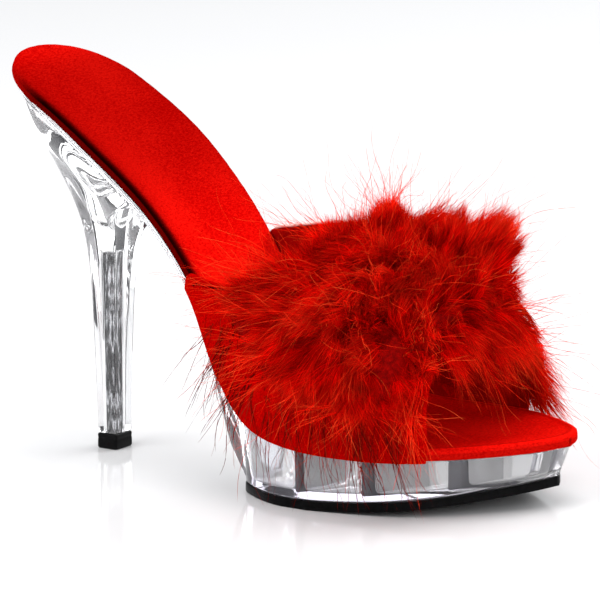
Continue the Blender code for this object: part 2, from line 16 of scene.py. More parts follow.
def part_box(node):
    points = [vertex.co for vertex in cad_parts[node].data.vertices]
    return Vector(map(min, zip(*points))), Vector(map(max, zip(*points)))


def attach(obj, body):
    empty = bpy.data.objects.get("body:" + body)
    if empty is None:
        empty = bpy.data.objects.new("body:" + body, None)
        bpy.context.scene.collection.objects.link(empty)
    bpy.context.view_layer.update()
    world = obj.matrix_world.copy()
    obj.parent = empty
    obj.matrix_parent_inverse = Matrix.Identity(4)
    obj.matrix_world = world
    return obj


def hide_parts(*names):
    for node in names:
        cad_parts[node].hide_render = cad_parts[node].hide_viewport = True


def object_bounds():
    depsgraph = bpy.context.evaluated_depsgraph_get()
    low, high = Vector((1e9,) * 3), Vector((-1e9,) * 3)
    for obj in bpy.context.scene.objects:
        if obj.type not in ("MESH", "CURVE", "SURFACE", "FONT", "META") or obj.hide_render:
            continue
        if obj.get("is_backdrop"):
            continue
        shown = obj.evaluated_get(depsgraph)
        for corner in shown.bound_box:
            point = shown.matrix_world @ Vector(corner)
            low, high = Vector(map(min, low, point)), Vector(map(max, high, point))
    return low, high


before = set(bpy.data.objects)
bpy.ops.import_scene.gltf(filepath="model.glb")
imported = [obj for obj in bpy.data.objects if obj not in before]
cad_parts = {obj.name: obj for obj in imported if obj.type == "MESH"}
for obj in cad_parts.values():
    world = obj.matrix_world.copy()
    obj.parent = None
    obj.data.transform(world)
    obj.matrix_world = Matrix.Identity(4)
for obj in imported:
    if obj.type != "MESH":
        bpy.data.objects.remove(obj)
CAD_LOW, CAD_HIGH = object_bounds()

MM = 0.001
RNG = np.random.default_rng(20417)

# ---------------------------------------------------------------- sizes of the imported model
LENGTH, BALL_S, BALL_Z = 240.0, 180.0, 23.7
HEEL_ROUND, TOE_ROUND, HEEL_POWER, TOE_POWER = 27.0, 46.0, 2.2, 1.82
INSOLE_T, GAP, PLATE_T = 4.0, 0.3, 2.4
PLATE_INSET, SEAT_INSET, TOP_INSET, SOLE_INSET = 1.0, 2.6, 2.0, 4.0
OUTSOLE_T, SOLE_REAR_X, WALL_TOP_S, WALL_END_S = 3.0, 101.0, 123.0, 150.0
ROCKER_X, TOE_TIP_X, ROCKER_RISE, ROCKER_POWER = 131.0, 199.0, 7.3, 1.7
POCKET_WALL, POCKET_FLOOR, RIB, RIB_Y = 2.6, 2.7, 2.0, 0.5
LIFT_T, LIFT_FRONT_X, LIFT_LENGTH, LIFT_HALF_W = 5.0, 35.3, 7.8, 4.6
HEEL_FRONT_S, PIN_R, PIN_X, PIN_TOP = 73.0, 2.35, 31.2, 66.0
UPPER_T = 2.0
NEAR_SPAN, FAR_SPAN, THROAT_DIP = (99.0, 212.5), (95.7, 206.0), 10.0

SLOPE = [(0, 23.7), (30, 29.8), (60, 39.6), (90, 50.6), (115, 54.2), (135, 47.4),
         (155, 29.9), (175, 8.8), (200, 0.4), (225, -1.4), (240, -3.1)]
HALF_W = [(0, 26.1), (25, 26.6), (50, 27.4), (80, 25.2), (110, 23.9), (140, 28.8),
          (165, 36.8), (185, 37.5), (205, 36.8), (225, 32.7), (240, 28.3)]
CENTRE = [(0, 0.0), (60, -0.1), (110, -0.8), (150, -6.4), (185, 0.1), (215, 6.2), (240, 13.3)]
DISH = [(0, 0.3), (20, 1.6), (60, 1.5), (110, 0.6), (160, 0.5), (200, 1.0), (240, 0.3)]
SOLE_REAR = [(101.0, 0.74), (102.2, 0.81), (104.5, 0.86), (108.5, 0.89), (116.0, 0.92),
             (126.0, 0.965), (133.0, 1.0)]
FLARE = [(0.00, 0.000, 0.000), (0.11, 0.019, 0.010), (0.28, 0.048, 0.015), (0.43, 0.080, 0.025),
         (0.51, 0.115, 0.035), (0.59, 0.175, 0.045), (0.66, 0.280, 0.060), (0.73, 0.425, 0.085),
         (0.79, 0.570, 0.120), (0.86, 0.735, 0.210), (0.92, 0.860, 0.400), (0.965, 0.945, 0.660),
         (1.00, 1.000, 1.000)]
WALL_NARROW = [(0.0, 0.0), (0.15, 0.12), (0.40, 0.52), (0.70, 0.62), (1.0, 1.0)]
CREST = [(0.00, 135.0, -1.0, 84.5, 2.05), (0.25, 143.0, -2.0, 76.5, 2.2), (0.50, 152.0, -1.0, 67.5, 2.5),
         (0.75, 161.0, 1.0, 59.5, 2.8), (1.00, 169.5, 3.0, 53.5, 3.1)]
FUR_ALONG = [(0.06, 5.0), (0.14, 12.0), (0.30, 20.0), (0.48, 26.0), (0.64, 29.5), (0.78, 28.0),
             (0.89, 21.0), (0.95, 14.0), (0.985, 6.0)]
FUR_ROUND = [(0.06, 0.22), (0.12, 0.42), (0.20, 0.60), (0.32, 0.80), (0.50, 1.00), (0.66, 0.82),
             (0.80, 0.62), (0.88, 0.42), (0.94, 0.22)]

lift_low, lift_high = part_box("top_lift")
SHIFT = np.array([lift_high[0] / MM - LIFT_FRONT_X, 0.5 * (lift_low[1] + lift_high[1]) / MM, 0.0])


# ---------------------------------------------------------------- curves through tables
def natural_spline(rows):
    x = np.array([r[0] for r in rows], float)
    y = np.array([r[1] for r in rows], float)
    n, h = len(x), np.diff(x)
    m, rhs = np.zeros((n, n)), np.zeros(n)
    m[0, 0] = m[-1, -1] = 1.0
    for i in range(1, n - 1):
        m[i, i - 1], m[i, i], m[i, i + 1] = h[i - 1], 2 * (h[i - 1] + h[i]), h[i]
        rhs[i] = 6 * ((y[i + 1] - y[i]) / h[i] - (y[i] - y[i - 1]) / h[i - 1])
    k = np.linalg.solve(m, rhs)

    def at(q):
        q = np.asarray(q, float)
        i = np.clip(np.searchsorted(x, q) - 1, 0, n - 2)
        a, b = (x[i + 1] - q) / h[i], (q - x[i]) / h[i]
        return a * y[i] + b * y[i + 1] + ((a ** 3 - a) * k[i] + (b ** 3 - b) * k[i + 1]) * h[i] ** 2 / 6

    return at


def monotone(rows, column=1):
    x = np.array([r[0] for r in rows], float)
    y = np.array([r[column] for r in rows], float)
    h = np.diff(x)
    d = np.diff(y) / h
    m = np.zeros(len(x))
    for i in range(1, len(x) - 1):
        if d[i - 1] * d[i] > 0:
            w1, w2 = 2 * h[i] + h[i - 1], h[i] + 2 * h[i - 1]
            m[i] = (w1 + w2) / (w1 / d[i - 1] + w2 / d[i])
    m[0], m[-1] = d[0], d[-1]

    def at(q):
        q = np.clip(np.asarray(q, float), x[0], x[-1])
        i = np.clip(np.searchsorted(x, q) - 1, 0, len(x) - 2)
        t = (q - x[i]) / h[i]
        return ((1 + 2 * t) * (1 - t) ** 2 * y[i] + t * (1 - t) ** 2 * h[i] * m[i]
                + t * t * (3 - 2 * t) * y[i + 1] + t * t * (t - 1) * h[i] * m[i + 1])

    return at


def smooth(t):
    t = np.clip(t, 0.0, 1.0)
    return t * t * (3 - 2 * t)


slope_at = natural_spline([(s, math.radians(a)) for s, a in SLOPE])
width_at, shift_at, dish_at = monotone(HALF_W), natural_spline(CENTRE), monotone(DISH)
sole_share, wall_narrow = monotone(SOLE_REAR), monotone(WALL_NARROW)
rear_flare, breast_flare = monotone(FLARE, 1), monotone(FLARE, 2)
crest_x, crest_y, crest_z, crest_n = (monotone(CREST, k) for k in (1, 2, 3, 4))
fur_along, fur_round = monotone(FUR_ALONG), monotone(FUR_ROUND)

STEP = 0.1
S_FINE = np.arange(0.0, LENGTH + STEP / 2, STEP)
A_FINE = slope_at(S_FINE)
A_MID = slope_at(S_FINE[:-1] + STEP / 2)
X_FINE = np.concatenate([[0.0], np.cumsum(np.cos(A_MID) * STEP)])
Z_FINE = -np.concatenate([[0.0], np.cumsum(np.sin(A_MID) * STEP)])
Z_FINE += BALL_Z - np.interp(BALL_S, S_FINE, Z_FINE)


def bed(s, depth=0.0):
    a = np.interp(s, S_FINE, A_FINE)
    return (np.interp(s, S_FINE, X_FINE) - depth * np.sin(a), np.interp(s, S_FINE, Z_FINE) - depth * np.cos(a))


def half_width(s):
    s = np.asarray(s, float)
    rear = np.sqrt(np.clip(1 - np.clip(1 - s / HEEL_ROUND, 0, 1) ** HEEL_POWER, 0, 1))
    front = np.sqrt(np.clip(1 - np.clip((s - LENGTH + TOE_ROUND) / TOE_ROUND, 0, 1) ** TOE_POWER, 0, 1))
    return width_at(s) * rear * front


def inset_half_width(s, inset, rear, front):
    """Half width of the outline drawn in by inset, with its ends at stations rear and LENGTH - front."""
    s = np.asarray(s, float)
    hr, tr = HEEL_ROUND - rear, TOE_ROUND - front
    a = np.sqrt(np.clip(1 - np.clip(1 - (s - rear) / hr, 0, 1) ** HEEL_POWER, 0, 1))
    b = np.sqrt(np.clip(1 - np.clip((s - LENGTH + TOE_ROUND) / tr, 0, 1) ** TOE_POWER, 0, 1))
    return (width_at(s) - inset) * a * b


def station_of(x, z):
    x, z = np.ravel(x), np.ravel(z)
    i = np.zeros(len(x), int)
    for k in range(0, len(x), 4000):
        d = (X_FINE[None, :] - x[k:k + 4000, None]) ** 2 + (Z_FINE[None, :] - z[k:k + 4000, None]) ** 2
        i[k:k + 4000] = np.argmin(d, axis=1)
    a = A_FINE[i]
    return S_FINE[i], (x - X_FINE[i]) * np.sin(a) + (z - Z_FINE[i]) * np.cos(a)


def station_at_x(x):
    return np.interp(x, X_FINE, S_FINE)


def rocker(x):
    return ROCKER_RISE * np.clip((x - ROCKER_X) / (TOE_TIP_X - ROCKER_X), 0, None) ** ROCKER_POWER


def sole_edges(x, inset=SOLE_INSET):
    tip = TOE_TIP_X - inset
    s = station_at_x(np.minimum(x, tip) + inset * smooth((x - 150.0) / 40.0))
    w_in = np.maximum(0.6, half_width(s) - inset)
    c, share = shift_at(s), sole_share(x)
    return c - w_in * share, c + w_in * share


def band(v, u):
    """Middle surface of the band: v from the throat to the toe, u round from the outer edge."""
    v, u = np.broadcast_arrays(np.asarray(v, float), np.asarray(u, float))
    shape = v.shape
    v, u = v.ravel(), u.ravel()
    vc = np.clip(v, -0.05, 1.05)
    sn = NEAR_SPAN[0] + (NEAR_SPAN[1] - NEAR_SPAN[0]) * vc
    sf = FAR_SPAN[0] + (FAR_SPAN[1] - FAR_SPAN[0]) * vc
    out = GAP + 0.2 + UPPER_T / 2
    xn, zn = bed(sn, INSOLE_T + 0.1)
    xf, zf = bed(sf, INSOLE_T + 0.1)
    near = np.stack([xn, shift_at(sn) - half_width(sn) - out, zn], -1)
    far = np.stack([xf, shift_at(sf) + half_width(sf) + out, zf], -1)
    crest = np.stack([crest_x(v), crest_y(v), crest_z(v)], -1)
    n = crest_n(v)
    ca, sa = np.cos(np.pi * u), np.sin(np.pi * u)
    cx = np.sign(ca) * np.abs(ca) ** (2.0 / n)
    sx = np.abs(sa) ** (2.0 / n)
    mid = 0.5 * (near + far)
    p = mid + (near - mid) * cx[:, None] + (crest - mid) * sx[:, None]
    dip = THROAT_DIP * np.sin(np.pi * np.minimum(1.0, u / 0.32)) * np.clip(1 - v, 0, 1) ** 4
    p[:, 2] -= np.where(u < 0.32, dip, 0.0)
    s, h = station_of(p[:, 0], p[:, 2])
    hug = np.where(np.abs(cx) > 0.3, 1 - smooth((h - 1.0) / 13.0), 0.0)
    edge = shift_at(s) + (half_width(s) + out) * np.where(cx > 0, -1, 1)
    p[:, 1] = p[:, 1] * (1 - hug) + edge * hug
    return p.reshape(shape + (3,))


def unit(a):
    return a / np.maximum(np.linalg.norm(a, axis=-1, keepdims=True), 1e-9)


def band_frame(v, u, e=0.004):
    """Unit directions on the band: towards the toe, round to the inner side, and outwards."""
    v, u = np.broadcast_arrays(np.asarray(v, float), np.asarray(u, float))
    dv = band(np.minimum(1, v + e), u) - band(np.maximum(0, v - e), u)
    du = band(v, np.minimum(1, u + e)) - band(v, np.maximum(0, u - e))
    return unit(dv), unit(du), unit(np.cross(dv, du))


NORMAL_SIGN = 1.0 if band_frame(0.5, 0.5)[2][2] > 0 else -1.0


# ---------------------------------------------------------------- noise from a fixed seed
def lattice(seed, cells=32):
    return np.random.default_rng(seed).random((cells, cells, cells))


LATTICES = [lattice(s) for s in (11, 12, 13, 14)]


def noise(p, size, which=0):
    """Smooth noise from -1 to 1 at points p, in millimetres, with blobs of the given size."""
    g = LATTICES[which]
    m = g.shape[0]
    q = np.asarray(p) / size
    i = np.floor(q).astype(int)
    f = q - i
    f = f * f * (3 - 2 * f)
    total = 0.0
    for dx in (0, 1):
        for dy in (0, 1):
            for dz in (0, 1):
                w = ((f[..., 0] if dx else 1 - f[..., 0]) * (f[..., 1] if dy else 1 - f[..., 1])
                     * (f[..., 2] if dz else 1 - f[..., 2]))
                total = total + w * g[(i[..., 0] + dx) % m, (i[..., 1] + dy) % m, (i[..., 2] + dz) % m]
    return 2 * total - 1


# ---------------------------------------------------------------- mesh helpers
def mesh_object(name, verts, faces, mats, face_mats=None, sharp=40.0, recalc=True):
    mesh = bpy.data.meshes.new(name)
    mesh.from_pydata([tuple(p) for p in (np.asarray(verts) + SHIFT) * MM], [], [tuple(int(i) for i in f) for f in faces])
    for m in mats:
        mesh.materials.append(m)
    if face_mats is not None:
        mesh.polygons.foreach_set("material_index", np.asarray(face_mats, np.int32))
    if recalc:
        bm = bmesh.new()
        bm.from_mesh(mesh)
        bmesh.ops.recalc_face_normals(bm, faces=bm.faces)
        bm.to_mesh(mesh)
        bm.free()
    mesh.shade_smooth()
    if sharp:
        mesh.set_sharp_from_angle(angle=math.radians(sharp))
    mesh.update()
    ob = bpy.data.objects.new(name, mesh)
    bpy.context.scene.collection.objects.link(ob)
    return ob


def loft_data(rings, close_ends=True):
    """Vertices and faces of a body through equal closed rings, its ends closed by fans."""
    rings = np.asarray(rings)
    r, n = rings.shape[:2]
    verts = rings.reshape(-1, 3)
    k, i = np.meshgrid(np.arange(r - 1), np.arange(n), indexing="ij")
    j = (i + 1) % n
    quads = np.stack([k * n + i, k * n + j, (k + 1) * n + j, (k + 1) * n + i], -1).reshape(-1, 4)
    faces = [tuple(q) for q in quads.tolist()]
    if close_ends:
        a, b = len(verts), len(verts) + 1
        verts = np.concatenate([verts, rings[0].mean(0)[None], rings[-1].mean(0)[None]])
        for i in range(n):
            j = (i + 1) % n
            faces.append((a, j, i))
            faces.append((b, (r - 1) * n + i, (r - 1) * n + j))
    return verts, faces


def rounded_ring(points, radii, steps=3):
    """A closed ring with each corner replaced by a short curve of about the given radius."""
    pts = np.asarray(points, float)
    out = []
    n = len(pts)
    for i in range(n):
        p, a, b = pts[i], pts[i - 1] - pts[i], pts[(i + 1) % n] - pts[i]
        la, lb = np.linalg.norm(a), np.linalg.norm(b)
        ra, rb = min(radii[i], 0.45 * la), min(radii[i], 0.45 * lb)
        p0, p1 = p + a / max(la, 1e-9) * ra, p + b / max(lb, 1e-9) * rb
        for k in range(steps + 1):
            t = k / steps
            out.append(p0 * (1 - t) ** 2 + p * 2 * t * (1 - t) + p1 * t * t)
    return np.array(out)


def closed_curve(points, per_segment):
    """Smooth closed curve through the points."""
    p = np.asarray(points, float)
    t = (np.arange(per_segment) / per_segment)[None, :, None]
    a, b, c, d = (np.roll(p, k, axis=0)[:, None, :] for k in (1, 0, -1, -2))
    q = 0.5 * (2 * b + (c - a) * t + (2 * a - 5 * b + 4 * c - d) * t ** 2 + (3 * b - a - 3 * c + d) * t ** 3)
    return q.reshape(-1, p.shape[1])


def boolean_cut(ob, cutters):
    for c in cutters:
        m = ob.modifiers.new("cut", "BOOLEAN")
        m.operation, m.solver, m.object, m.material_mode = "DIFFERENCE", "EXACT", c, "TRANSFER"
    dg = bpy.context.evaluated_depsgraph_get()
    made = bpy.data.meshes.new_from_object(ob.evaluated_get(dg))
    ob.modifiers.clear()
    old = ob.data
    ob.data = made
    bpy.data.meshes.remove(old)
    for c in cutters:
        data = c.data
        bpy.data.objects.remove(c, do_unlink=True)
        bpy.data.meshes.remove(data)
    made.shade_smooth()
    made.set_sharp_from_angle(angle=math.radians(38))


def part(ob, node=None):
    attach(ob, "root")
    if node:
        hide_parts(node)
    return ob


# ---------------------------------------------------------------- materials
class Mat:
    """A material with one Principled shader and short calls for its nodes."""

    def __init__(self, name, **values):
        self.m = bpy.data.materials.new(name)
        self.m.use_nodes = True
        self.t = self.m.node_tree
        self.b = self.t.nodes["Principled BSDF"]
        self.coord = self.t.nodes.new("ShaderNodeTexCoord").outputs["Object"]
        for k, v in values.items():
            self.b.inputs[k.replace("_", " ")].default_value = v

    def node(self, kind, links=None, **props):
        n = self.t.nodes.new("ShaderNode" + kind)
        for k, v in props.items():
            setattr(n, k, v)
        for k, v in (links or {}).items():
            self.set(n, k, v)
        return n

    def set(self, n, k, v):
        if isinstance(v, bpy.types.NodeSocket):
            self.t.links.new(v, n.inputs[k])
        else:
            n.inputs[k].default_value = v

    def mapped(self, scale=(1, 1, 1), rotate=(0, 0, 0)):
        n = self.node("Mapping", {"Vector": self.coord, "Scale": scale,
                                  "Rotation": tuple(math.radians(a) for a in rotate)})
        return n.outputs[0]

    def noise(self, size, detail=2.0, rough=0.5, vector=None):
        n = self.node("TexNoise", {"Vector": vector or self.coord, "Scale": 1.0 / (size * MM),
                                   "Detail": detail, "Roughness": rough})
        return n.outputs["Fac"]

    def wave(self, pitch, vector, distort=0.0, detail=0.0, scale=1.0):
        n = self.node("TexWave", {"Vector": vector, "Scale": 0.314 / (pitch * MM), "Distortion": distort,
                                  "Detail": detail, "Detail Scale": scale})
        return n.outputs["Fac"]

    def ramp(self, fac, stops):
        n = self.node("ValToRGB", {"Fac": fac})
        e = n.color_ramp.elements
        while len(e) < len(stops):
            e.new(0.5)
        for el, (pos, col) in zip(e, stops):
            el.position, el.color = pos, (*col, 1.0) if len(col) == 3 else col
        return n.outputs["Color"]

    def math(self, op, a, b):
        return self.node("Math", {0: a, 1: b}, operation=op).outputs[0]

    def bump(self, height, strength, distance, normal=None):
        links = {"Height": height, "Strength": strength, "Distance": distance * MM}
        if normal is not None:
            links["Normal"] = normal
        return self.node("Bump", links).outputs["Normal"]

    def mix(self, fac, a, b, blend="MIX"):
        n = self.node("Mix", data_type="RGBA", blend_type=blend)
        self.set(n, 0, fac)
        for k, v in ((6, a), (7, b)):
            self.set(n, k, v if isinstance(v, bpy.types.NodeSocket) else (*v, 1.0))
        return n.outputs[2]

    def base(self, colour):
        self.set(self.b, "Base Color", colour)

    def normal(self, sock):
        self.t.links.new(sock, self.b.inputs["Normal"])

    def lets_light_through(self, share=0.85):
        """Rays from lamps pass the clear plastic, so that its shadow stays light."""
        path = self.node("LightPath")
        clear = self.node("BsdfTransparent", {"Color": (share, share, share, 1.0)})
        mix = self.node("MixShader")
        self.t.links.new(path.outputs["Is Shadow Ray"], mix.inputs[0])
        self.t.links.new(self.b.outputs[0], mix.inputs[1])
        self.t.links.new(clear.outputs[0], mix.inputs[2])
        self.t.links.new(mix.outputs[0], self.t.nodes["Material Output"].inputs["Surface"])


def satin(name, dark, light, turn, rough=0.40, gloss=0.45, weave=1.0, wrinkle=1.0, shade=False):
    """Duchess satin: a fine slanted weave, soft pulls, and a gloss in the colour of the thread."""
    k = Mat(name, Roughness=rough, Specular_IOR_Level=0.0, Specular_Tint=(1.0, 0.05, 0.02, 1.0), Metallic=gloss,
            Anisotropic=0.35)
    slant = k.mapped(rotate=turn)
    threads = k.wave(0.42, slant, 1.4, 1.0, 3.0)
    cross = k.wave(0.80, k.mapped(rotate=(turn[0], turn[1], turn[2] + 84)), 1.8, 1.0, 2.0)
    streak = k.noise(0.55, 3.0, 0.65, k.mapped(scale=(1.0, 0.45, 1.0), rotate=turn))
    soft = k.noise(30.0, 1.0)
    tone = k.math("ADD", k.math("MULTIPLY", soft, 0.30), k.math("MULTIPLY", streak, 0.70))
    colour = k.ramp(tone, [(0.40, dark), (0.50, tuple(0.5 * (a + b) for a, b in zip(dark, light))), (0.60, light)])
    # the 'shade' attribute multiplies painted shade and painted highlights into the colour
    if shade:
        dim = k.node("Attribute", attribute_name="shade").outputs["Color"]
        colour = k.mix(1.0, colour, dim, "MULTIPLY")
    k.base(colour)
    n = k.bump(threads, 0.45 * weave, 0.06)
    n = k.bump(cross, 0.25 * weave, 0.05, n)
    n = k.bump(streak, 0.40 * weave, 0.08, n)
    n = k.bump(k.noise(11.0, 2.0, 0.5), 0.30 * wrinkle, 0.6, n)
    k.normal(n)
    return k.m


SATIN = satin("satin_red", (0.46, 0.0006, 0.0003), (0.72, 0.0060, 0.0030), (20, 0, 38), gloss=0.15, weave=1.3, shade=True)
SATIN_BAND = satin("satin_red_band", (0.30, 0.0002, 0.0001), (0.56, 0.0008, 0.0004), (0, 35, 52), rough=0.36,
                   gloss=0.12, wrinkle=1.8)

lining = Mat("lining_red", Roughness=0.8, Specular_IOR_Level=0.08, Specular_Tint=(1.0, 0.1, 0.06, 1.0))
lining.base(lining.ramp(lining.noise(2.5, 4.0, 0.7), [(0.35, (0.22, 0.0006, 0.0005)), (0.7, (0.38, 0.0015, 0.001))]))
lining.normal(lining.bump(lining.noise(0.4, 3.0), 0.5, 0.08))
LINING = lining.m

# pale edge colour: partly the lining's cut edge, partly a painted highlight along it
edge = Mat("binding_pale_and_highlight", Roughness=0.55)
edge.base(edge.ramp(edge.noise(1.2, 3.0, 0.6), [(0.38, (0.62, 0.22, 0.18)), (0.50, (0.92, 0.74, 0.68))]))
edge.normal(edge.bump(edge.noise(0.5, 2.0), 0.5, 0.1))
THROAT_EDGE_AND_HIGHLIGHT = edge.m

# the stitch thread is near black: its own dark red with painted shade of the stitch groove on it
thread = Mat("thread_dark_red_groove_shade", Roughness=0.6, Specular_IOR_Level=0.02)
thread.base(thread.ramp(thread.noise(0.3, 2.0), [(0.3, (0.02, 0.0004, 0.0004)), (0.7, (0.07, 0.001, 0.001))]))
thread.normal(thread.bump(thread.wave(0.22, thread.mapped(rotate=(30, 20, 40))), 0.6, 0.05))
THREAD_AND_GROOVE_SHADE = thread.m

board = Mat("insole_board", Roughness=0.7)
board.base(board.ramp(board.noise(1.4, 5.0, 0.65), [(0.35, (0.66, 0.64, 0.62)), (0.65, (0.80, 0.79, 0.77))]))
board.normal(board.bump(board.noise(0.6, 3.0), 0.4, 0.1))
BOARD = board.m


def clear_plastic(name, tint, rough=0.03, marks=0.10, low=None):
    k = Mat(name, Base_Color=(*tint, 1.0), Roughness=rough, Transmission_Weight=1.0, IOR=1.49,
            Specular_IOR_Level=0.5)
    fine = k.noise(5.0, 2.0, 0.5, k.mapped(scale=(1.0, 1.0, 0.25)))
    scratch = k.noise(0.5, 2.0, 0.5, k.mapped(scale=(1.0, 1.0, 0.06), rotate=(4, 3, 0)))
    n = k.bump(fine, marks, 0.25)
    n = k.bump(scratch, marks * 0.35, 0.05, n)
    k.normal(n)
    # painted shade: the base colour darkens where the plastic is seen edge on, by its Layer Weight facing value
    facing = k.node("LayerWeight", {"Blend": 0.5}).outputs["Facing"]
    colour = k.ramp(facing, [(0.40, tint), (0.74, tuple(0.88 * a for a in tint)), (1.0, tuple(0.30 * a for a in tint))])
    # the platform is tinted darker and a little bluer towards the bottom, from 11 mm down to 6 mm up
    if low:
        height = k.node("SeparateXYZ", {"Vector": k.coord}).outputs["Z"]
        up = k.node("MapRange", {"Value": height, "From Min": 6.0 * MM, "From Max": 11.0 * MM}).outputs[0]
        colour = k.mix(1.0, colour, k.mix(up, low, (1.0, 1.0, 1.0)), "MULTIPLY")
    k.base(colour)
    k.lets_light_through()
    return k.m


PLASTIC = clear_plastic("clear_plastic", (0.95, 0.95, 0.975), low=(0.58, 0.56, 0.64))
HEEL_PLASTIC = clear_plastic("clear_heel_plastic", (0.98, 0.983, 0.99), marks=0.10)

# the hollows glow faintly, a painted light that makes them whiter; the frosting is their own rough surface
frosted_glow = Mat("clear_pocket_glow", Base_Color=(0.995, 0.995, 1.0, 1.0), Roughness=0.14, Transmission_Weight=0.86, IOR=1.22, Emission_Color=(1.0, 1.0, 1.0, 1.0), Emission_Strength=0.13,
              Specular_IOR_Level=0.3)
frosted_glow.normal(frosted_glow.bump(frosted_glow.noise(2.0, 3.0), 0.08, 0.1))
frosted_glow.lets_light_through(0.92)
FROSTED_GLOW = frosted_glow.m

# the rib walls of the hollows are tinted dark grey, a painted shade where the clear plastic is seen edge on
rib_side = Mat("clear_rib_painted_shade", Base_Color=(0.22, 0.22, 0.25, 1.0), Roughness=0.10, Transmission_Weight=0.80, IOR=1.42,
               Specular_IOR_Level=0.4)
rib_side.normal(rib_side.bump(rib_side.noise(1.4, 3.0), 0.10, 0.1))
rib_side.lets_light_through(0.85)
RIB_SIDE_SHADE = rib_side.m

rubber = Mat("black_rubber", Roughness=0.30, Specular_IOR_Level=0.05)
rubber.base(rubber.ramp(rubber.noise(1.8, 4.0, 0.6), [(0.35, (0.0012, 0.0012, 0.0013)), (0.7, (0.0045, 0.0045, 0.005))]))
rubber.set(rubber.b, "Roughness", rubber.node("MapRange", {"Value": rubber.noise(3.0, 3.0), "To Min": 0.20,
                                                           "To Max": 0.38}).outputs[0])
rubber.normal(rubber.bump(rubber.noise(0.35, 3.0, 0.6), 0.35, 0.06))
RUBBER = rubber.m

tread = Mat("black_tread", Roughness=0.62, Specular_IOR_Level=0.4)
cells = tread.node("TexVoronoi", {"Vector": tread.coord, "Scale": 1.0 / (1.3 * MM)}, feature="DISTANCE_TO_EDGE")
tread.base(tread.ramp(tread.noise(2.2, 4.0, 0.6), [(0.3, (0.006, 0.006, 0.006)), (0.7, (0.02, 0.02, 0.021))]))
tread.normal(tread.bump(cells.outputs["Distance"], 0.6, 0.25))
TREAD = tread.m

tip = Mat("black_tip", Roughness=0.42, Specular_IOR_Level=0.07)
tip.base(tip.ramp(tip.noise(1.0, 4.0, 0.6), [(0.3, (0.0015, 0.0015, 0.0015)), (0.75, (0.007, 0.007, 0.0075))]))
tip.normal(tip.bump(tip.noise(0.3, 3.0, 0.6), 0.45, 0.08))
TIP = tip.m

steel = Mat("steel", Metallic=1.0, Roughness=0.22)
long = steel.mapped(scale=(1.0, 1.0, 0.12))
steel.base(steel.ramp(steel.noise(0.8, 5.0, 0.7, long), [(0.42, (0.008, 0.008, 0.01)), (0.52, (0.09, 0.09, 0.095)),
                                                        (0.60, (0.60, 0.60, 0.62))]))
steel.set(steel.b, "Roughness", steel.node("MapRange", {"Value": steel.noise(0.6, 3.0, 0.6, long), "To Min": 0.10,
                                                        "To Max": 0.38}).outputs[0])
steel.normal(steel.bump(steel.noise(0.45, 4.0, 0.65, long), 0.6, 0.15))
STEEL = steel.m

# the down's dark reds are painted shade deep in the pile, with random tone over it
fluff = Mat("marabou_down_painted_shade", Roughness=0.95, Specular_IOR_Level=0.05)
fluff.base(fluff.ramp(fluff.noise(1.6, 6.0, 0.75), [(0.32, (0.16, 0.0006, 0.0004)), (0.5, (0.36, 0.0012, 0.0006)),
                                                   (0.7, (0.62, 0.003, 0.001))]))
fluff.normal(fluff.bump(fluff.noise(0.9, 5.0, 0.7), 1.0, 1.2))
FLUFF_SHADE = fluff.m


def strand_material(name, translucent):
    """Down strands: the colour comes from each strand's own tint."""
    k = Mat(name, Roughness=0.7, Specular_IOR_Level=0.0, Specular_Tint=(1.0, 0.15, 0.06, 1.0))
    tint = k.node("Attribute", attribute_name="tint").outputs["Color"]
    vary = k.node("MapRange", {"Value": k.noise(7.0, 2.0), "From Min": 0.3, "From Max": 0.7, "To Min": 0.74,
                               "To Max": 1.32}).outputs[0]
    colour = k.node("VectorMath", {0: tint, 1: vary}, operation="MULTIPLY").outputs[0]
    k.base(colour)
    if translucent:
        thin = k.node("BsdfTranslucent", {"Color": colour})
        mix = k.node("MixShader", {0: translucent})
        k.t.links.new(k.b.outputs[0], mix.inputs[1])
        k.t.links.new(thin.outputs[0], mix.inputs[2])
        k.t.links.new(mix.outputs[0], k.t.nodes["Material Output"].inputs["Surface"])
    return k.m


DOWN = strand_material("marabou_strands", 0.38)

# ---------------------------------------------------------------- footbed
ENDS = np.array([0.03, 0.12, 0.3, 0.6, 1.0, 1.5, 2.2, 3.1, 4.2, 5.5, 7.0, 9.0, 11.5, 14.5])
foot_s = np.concatenate([ENDS, np.linspace(18, 222, 103), LENGTH - ENDS[::-1]])
OUT_S = np.concatenate([np.linspace(0, 2, 60) ** 2, np.linspace(4.4, 235.6, 500), LENGTH - np.linspace(2, 0, 60) ** 2])
OUT_W, OUT_C = half_width(OUT_S), shift_at(OUT_S)
OUTLINE = np.concatenate([np.stack([OUT_S, OUT_C - OUT_W], 1), np.stack([OUT_S, OUT_C + OUT_W], 1)[::-1]])


def edge_distance(s, y):
    p = np.stack([np.ravel(s), np.ravel(y)], 1)
    d = np.zeros(len(p))
    for k in range(0, len(p), 2000):
        d[k:k + 2000] = np.sqrt(((p[k:k + 2000, None, :] - OUTLINE[None]) ** 2).sum(-1).min(1))
    return d.reshape(np.shape(s))


RIM = 1.5
top_t = np.sin(np.pi / 2 * np.linspace(-1, 1, 43))
SIDE = [(0.0, 1.9), (0.0, 2.6), (0.12, 3.2), (0.45, 3.75), (1.1, 4.0)]       # inward, depth
s_grid, t_grid = np.meshgrid(foot_s, top_t, indexing="ij")
w_grid, c_grid = half_width(s_grid), shift_at(s_grid)
y_grid = c_grid + t_grid * w_grid
d_grid = np.where(np.abs(t_grid) > 0.9999, 0.0, edge_distance(s_grid, y_grid))
depth = RIM - np.sqrt(np.clip(RIM ** 2 - np.clip(RIM - d_grid, 0, None) ** 2, 0, None))
depth += dish_at(s_grid) * (1 - t_grid ** 2) * np.minimum(1.0, w_grid / 15.0)
xs, zs = bed(s_grid, 0.0)
flat = np.stack([xs, y_grid, zs], -1)
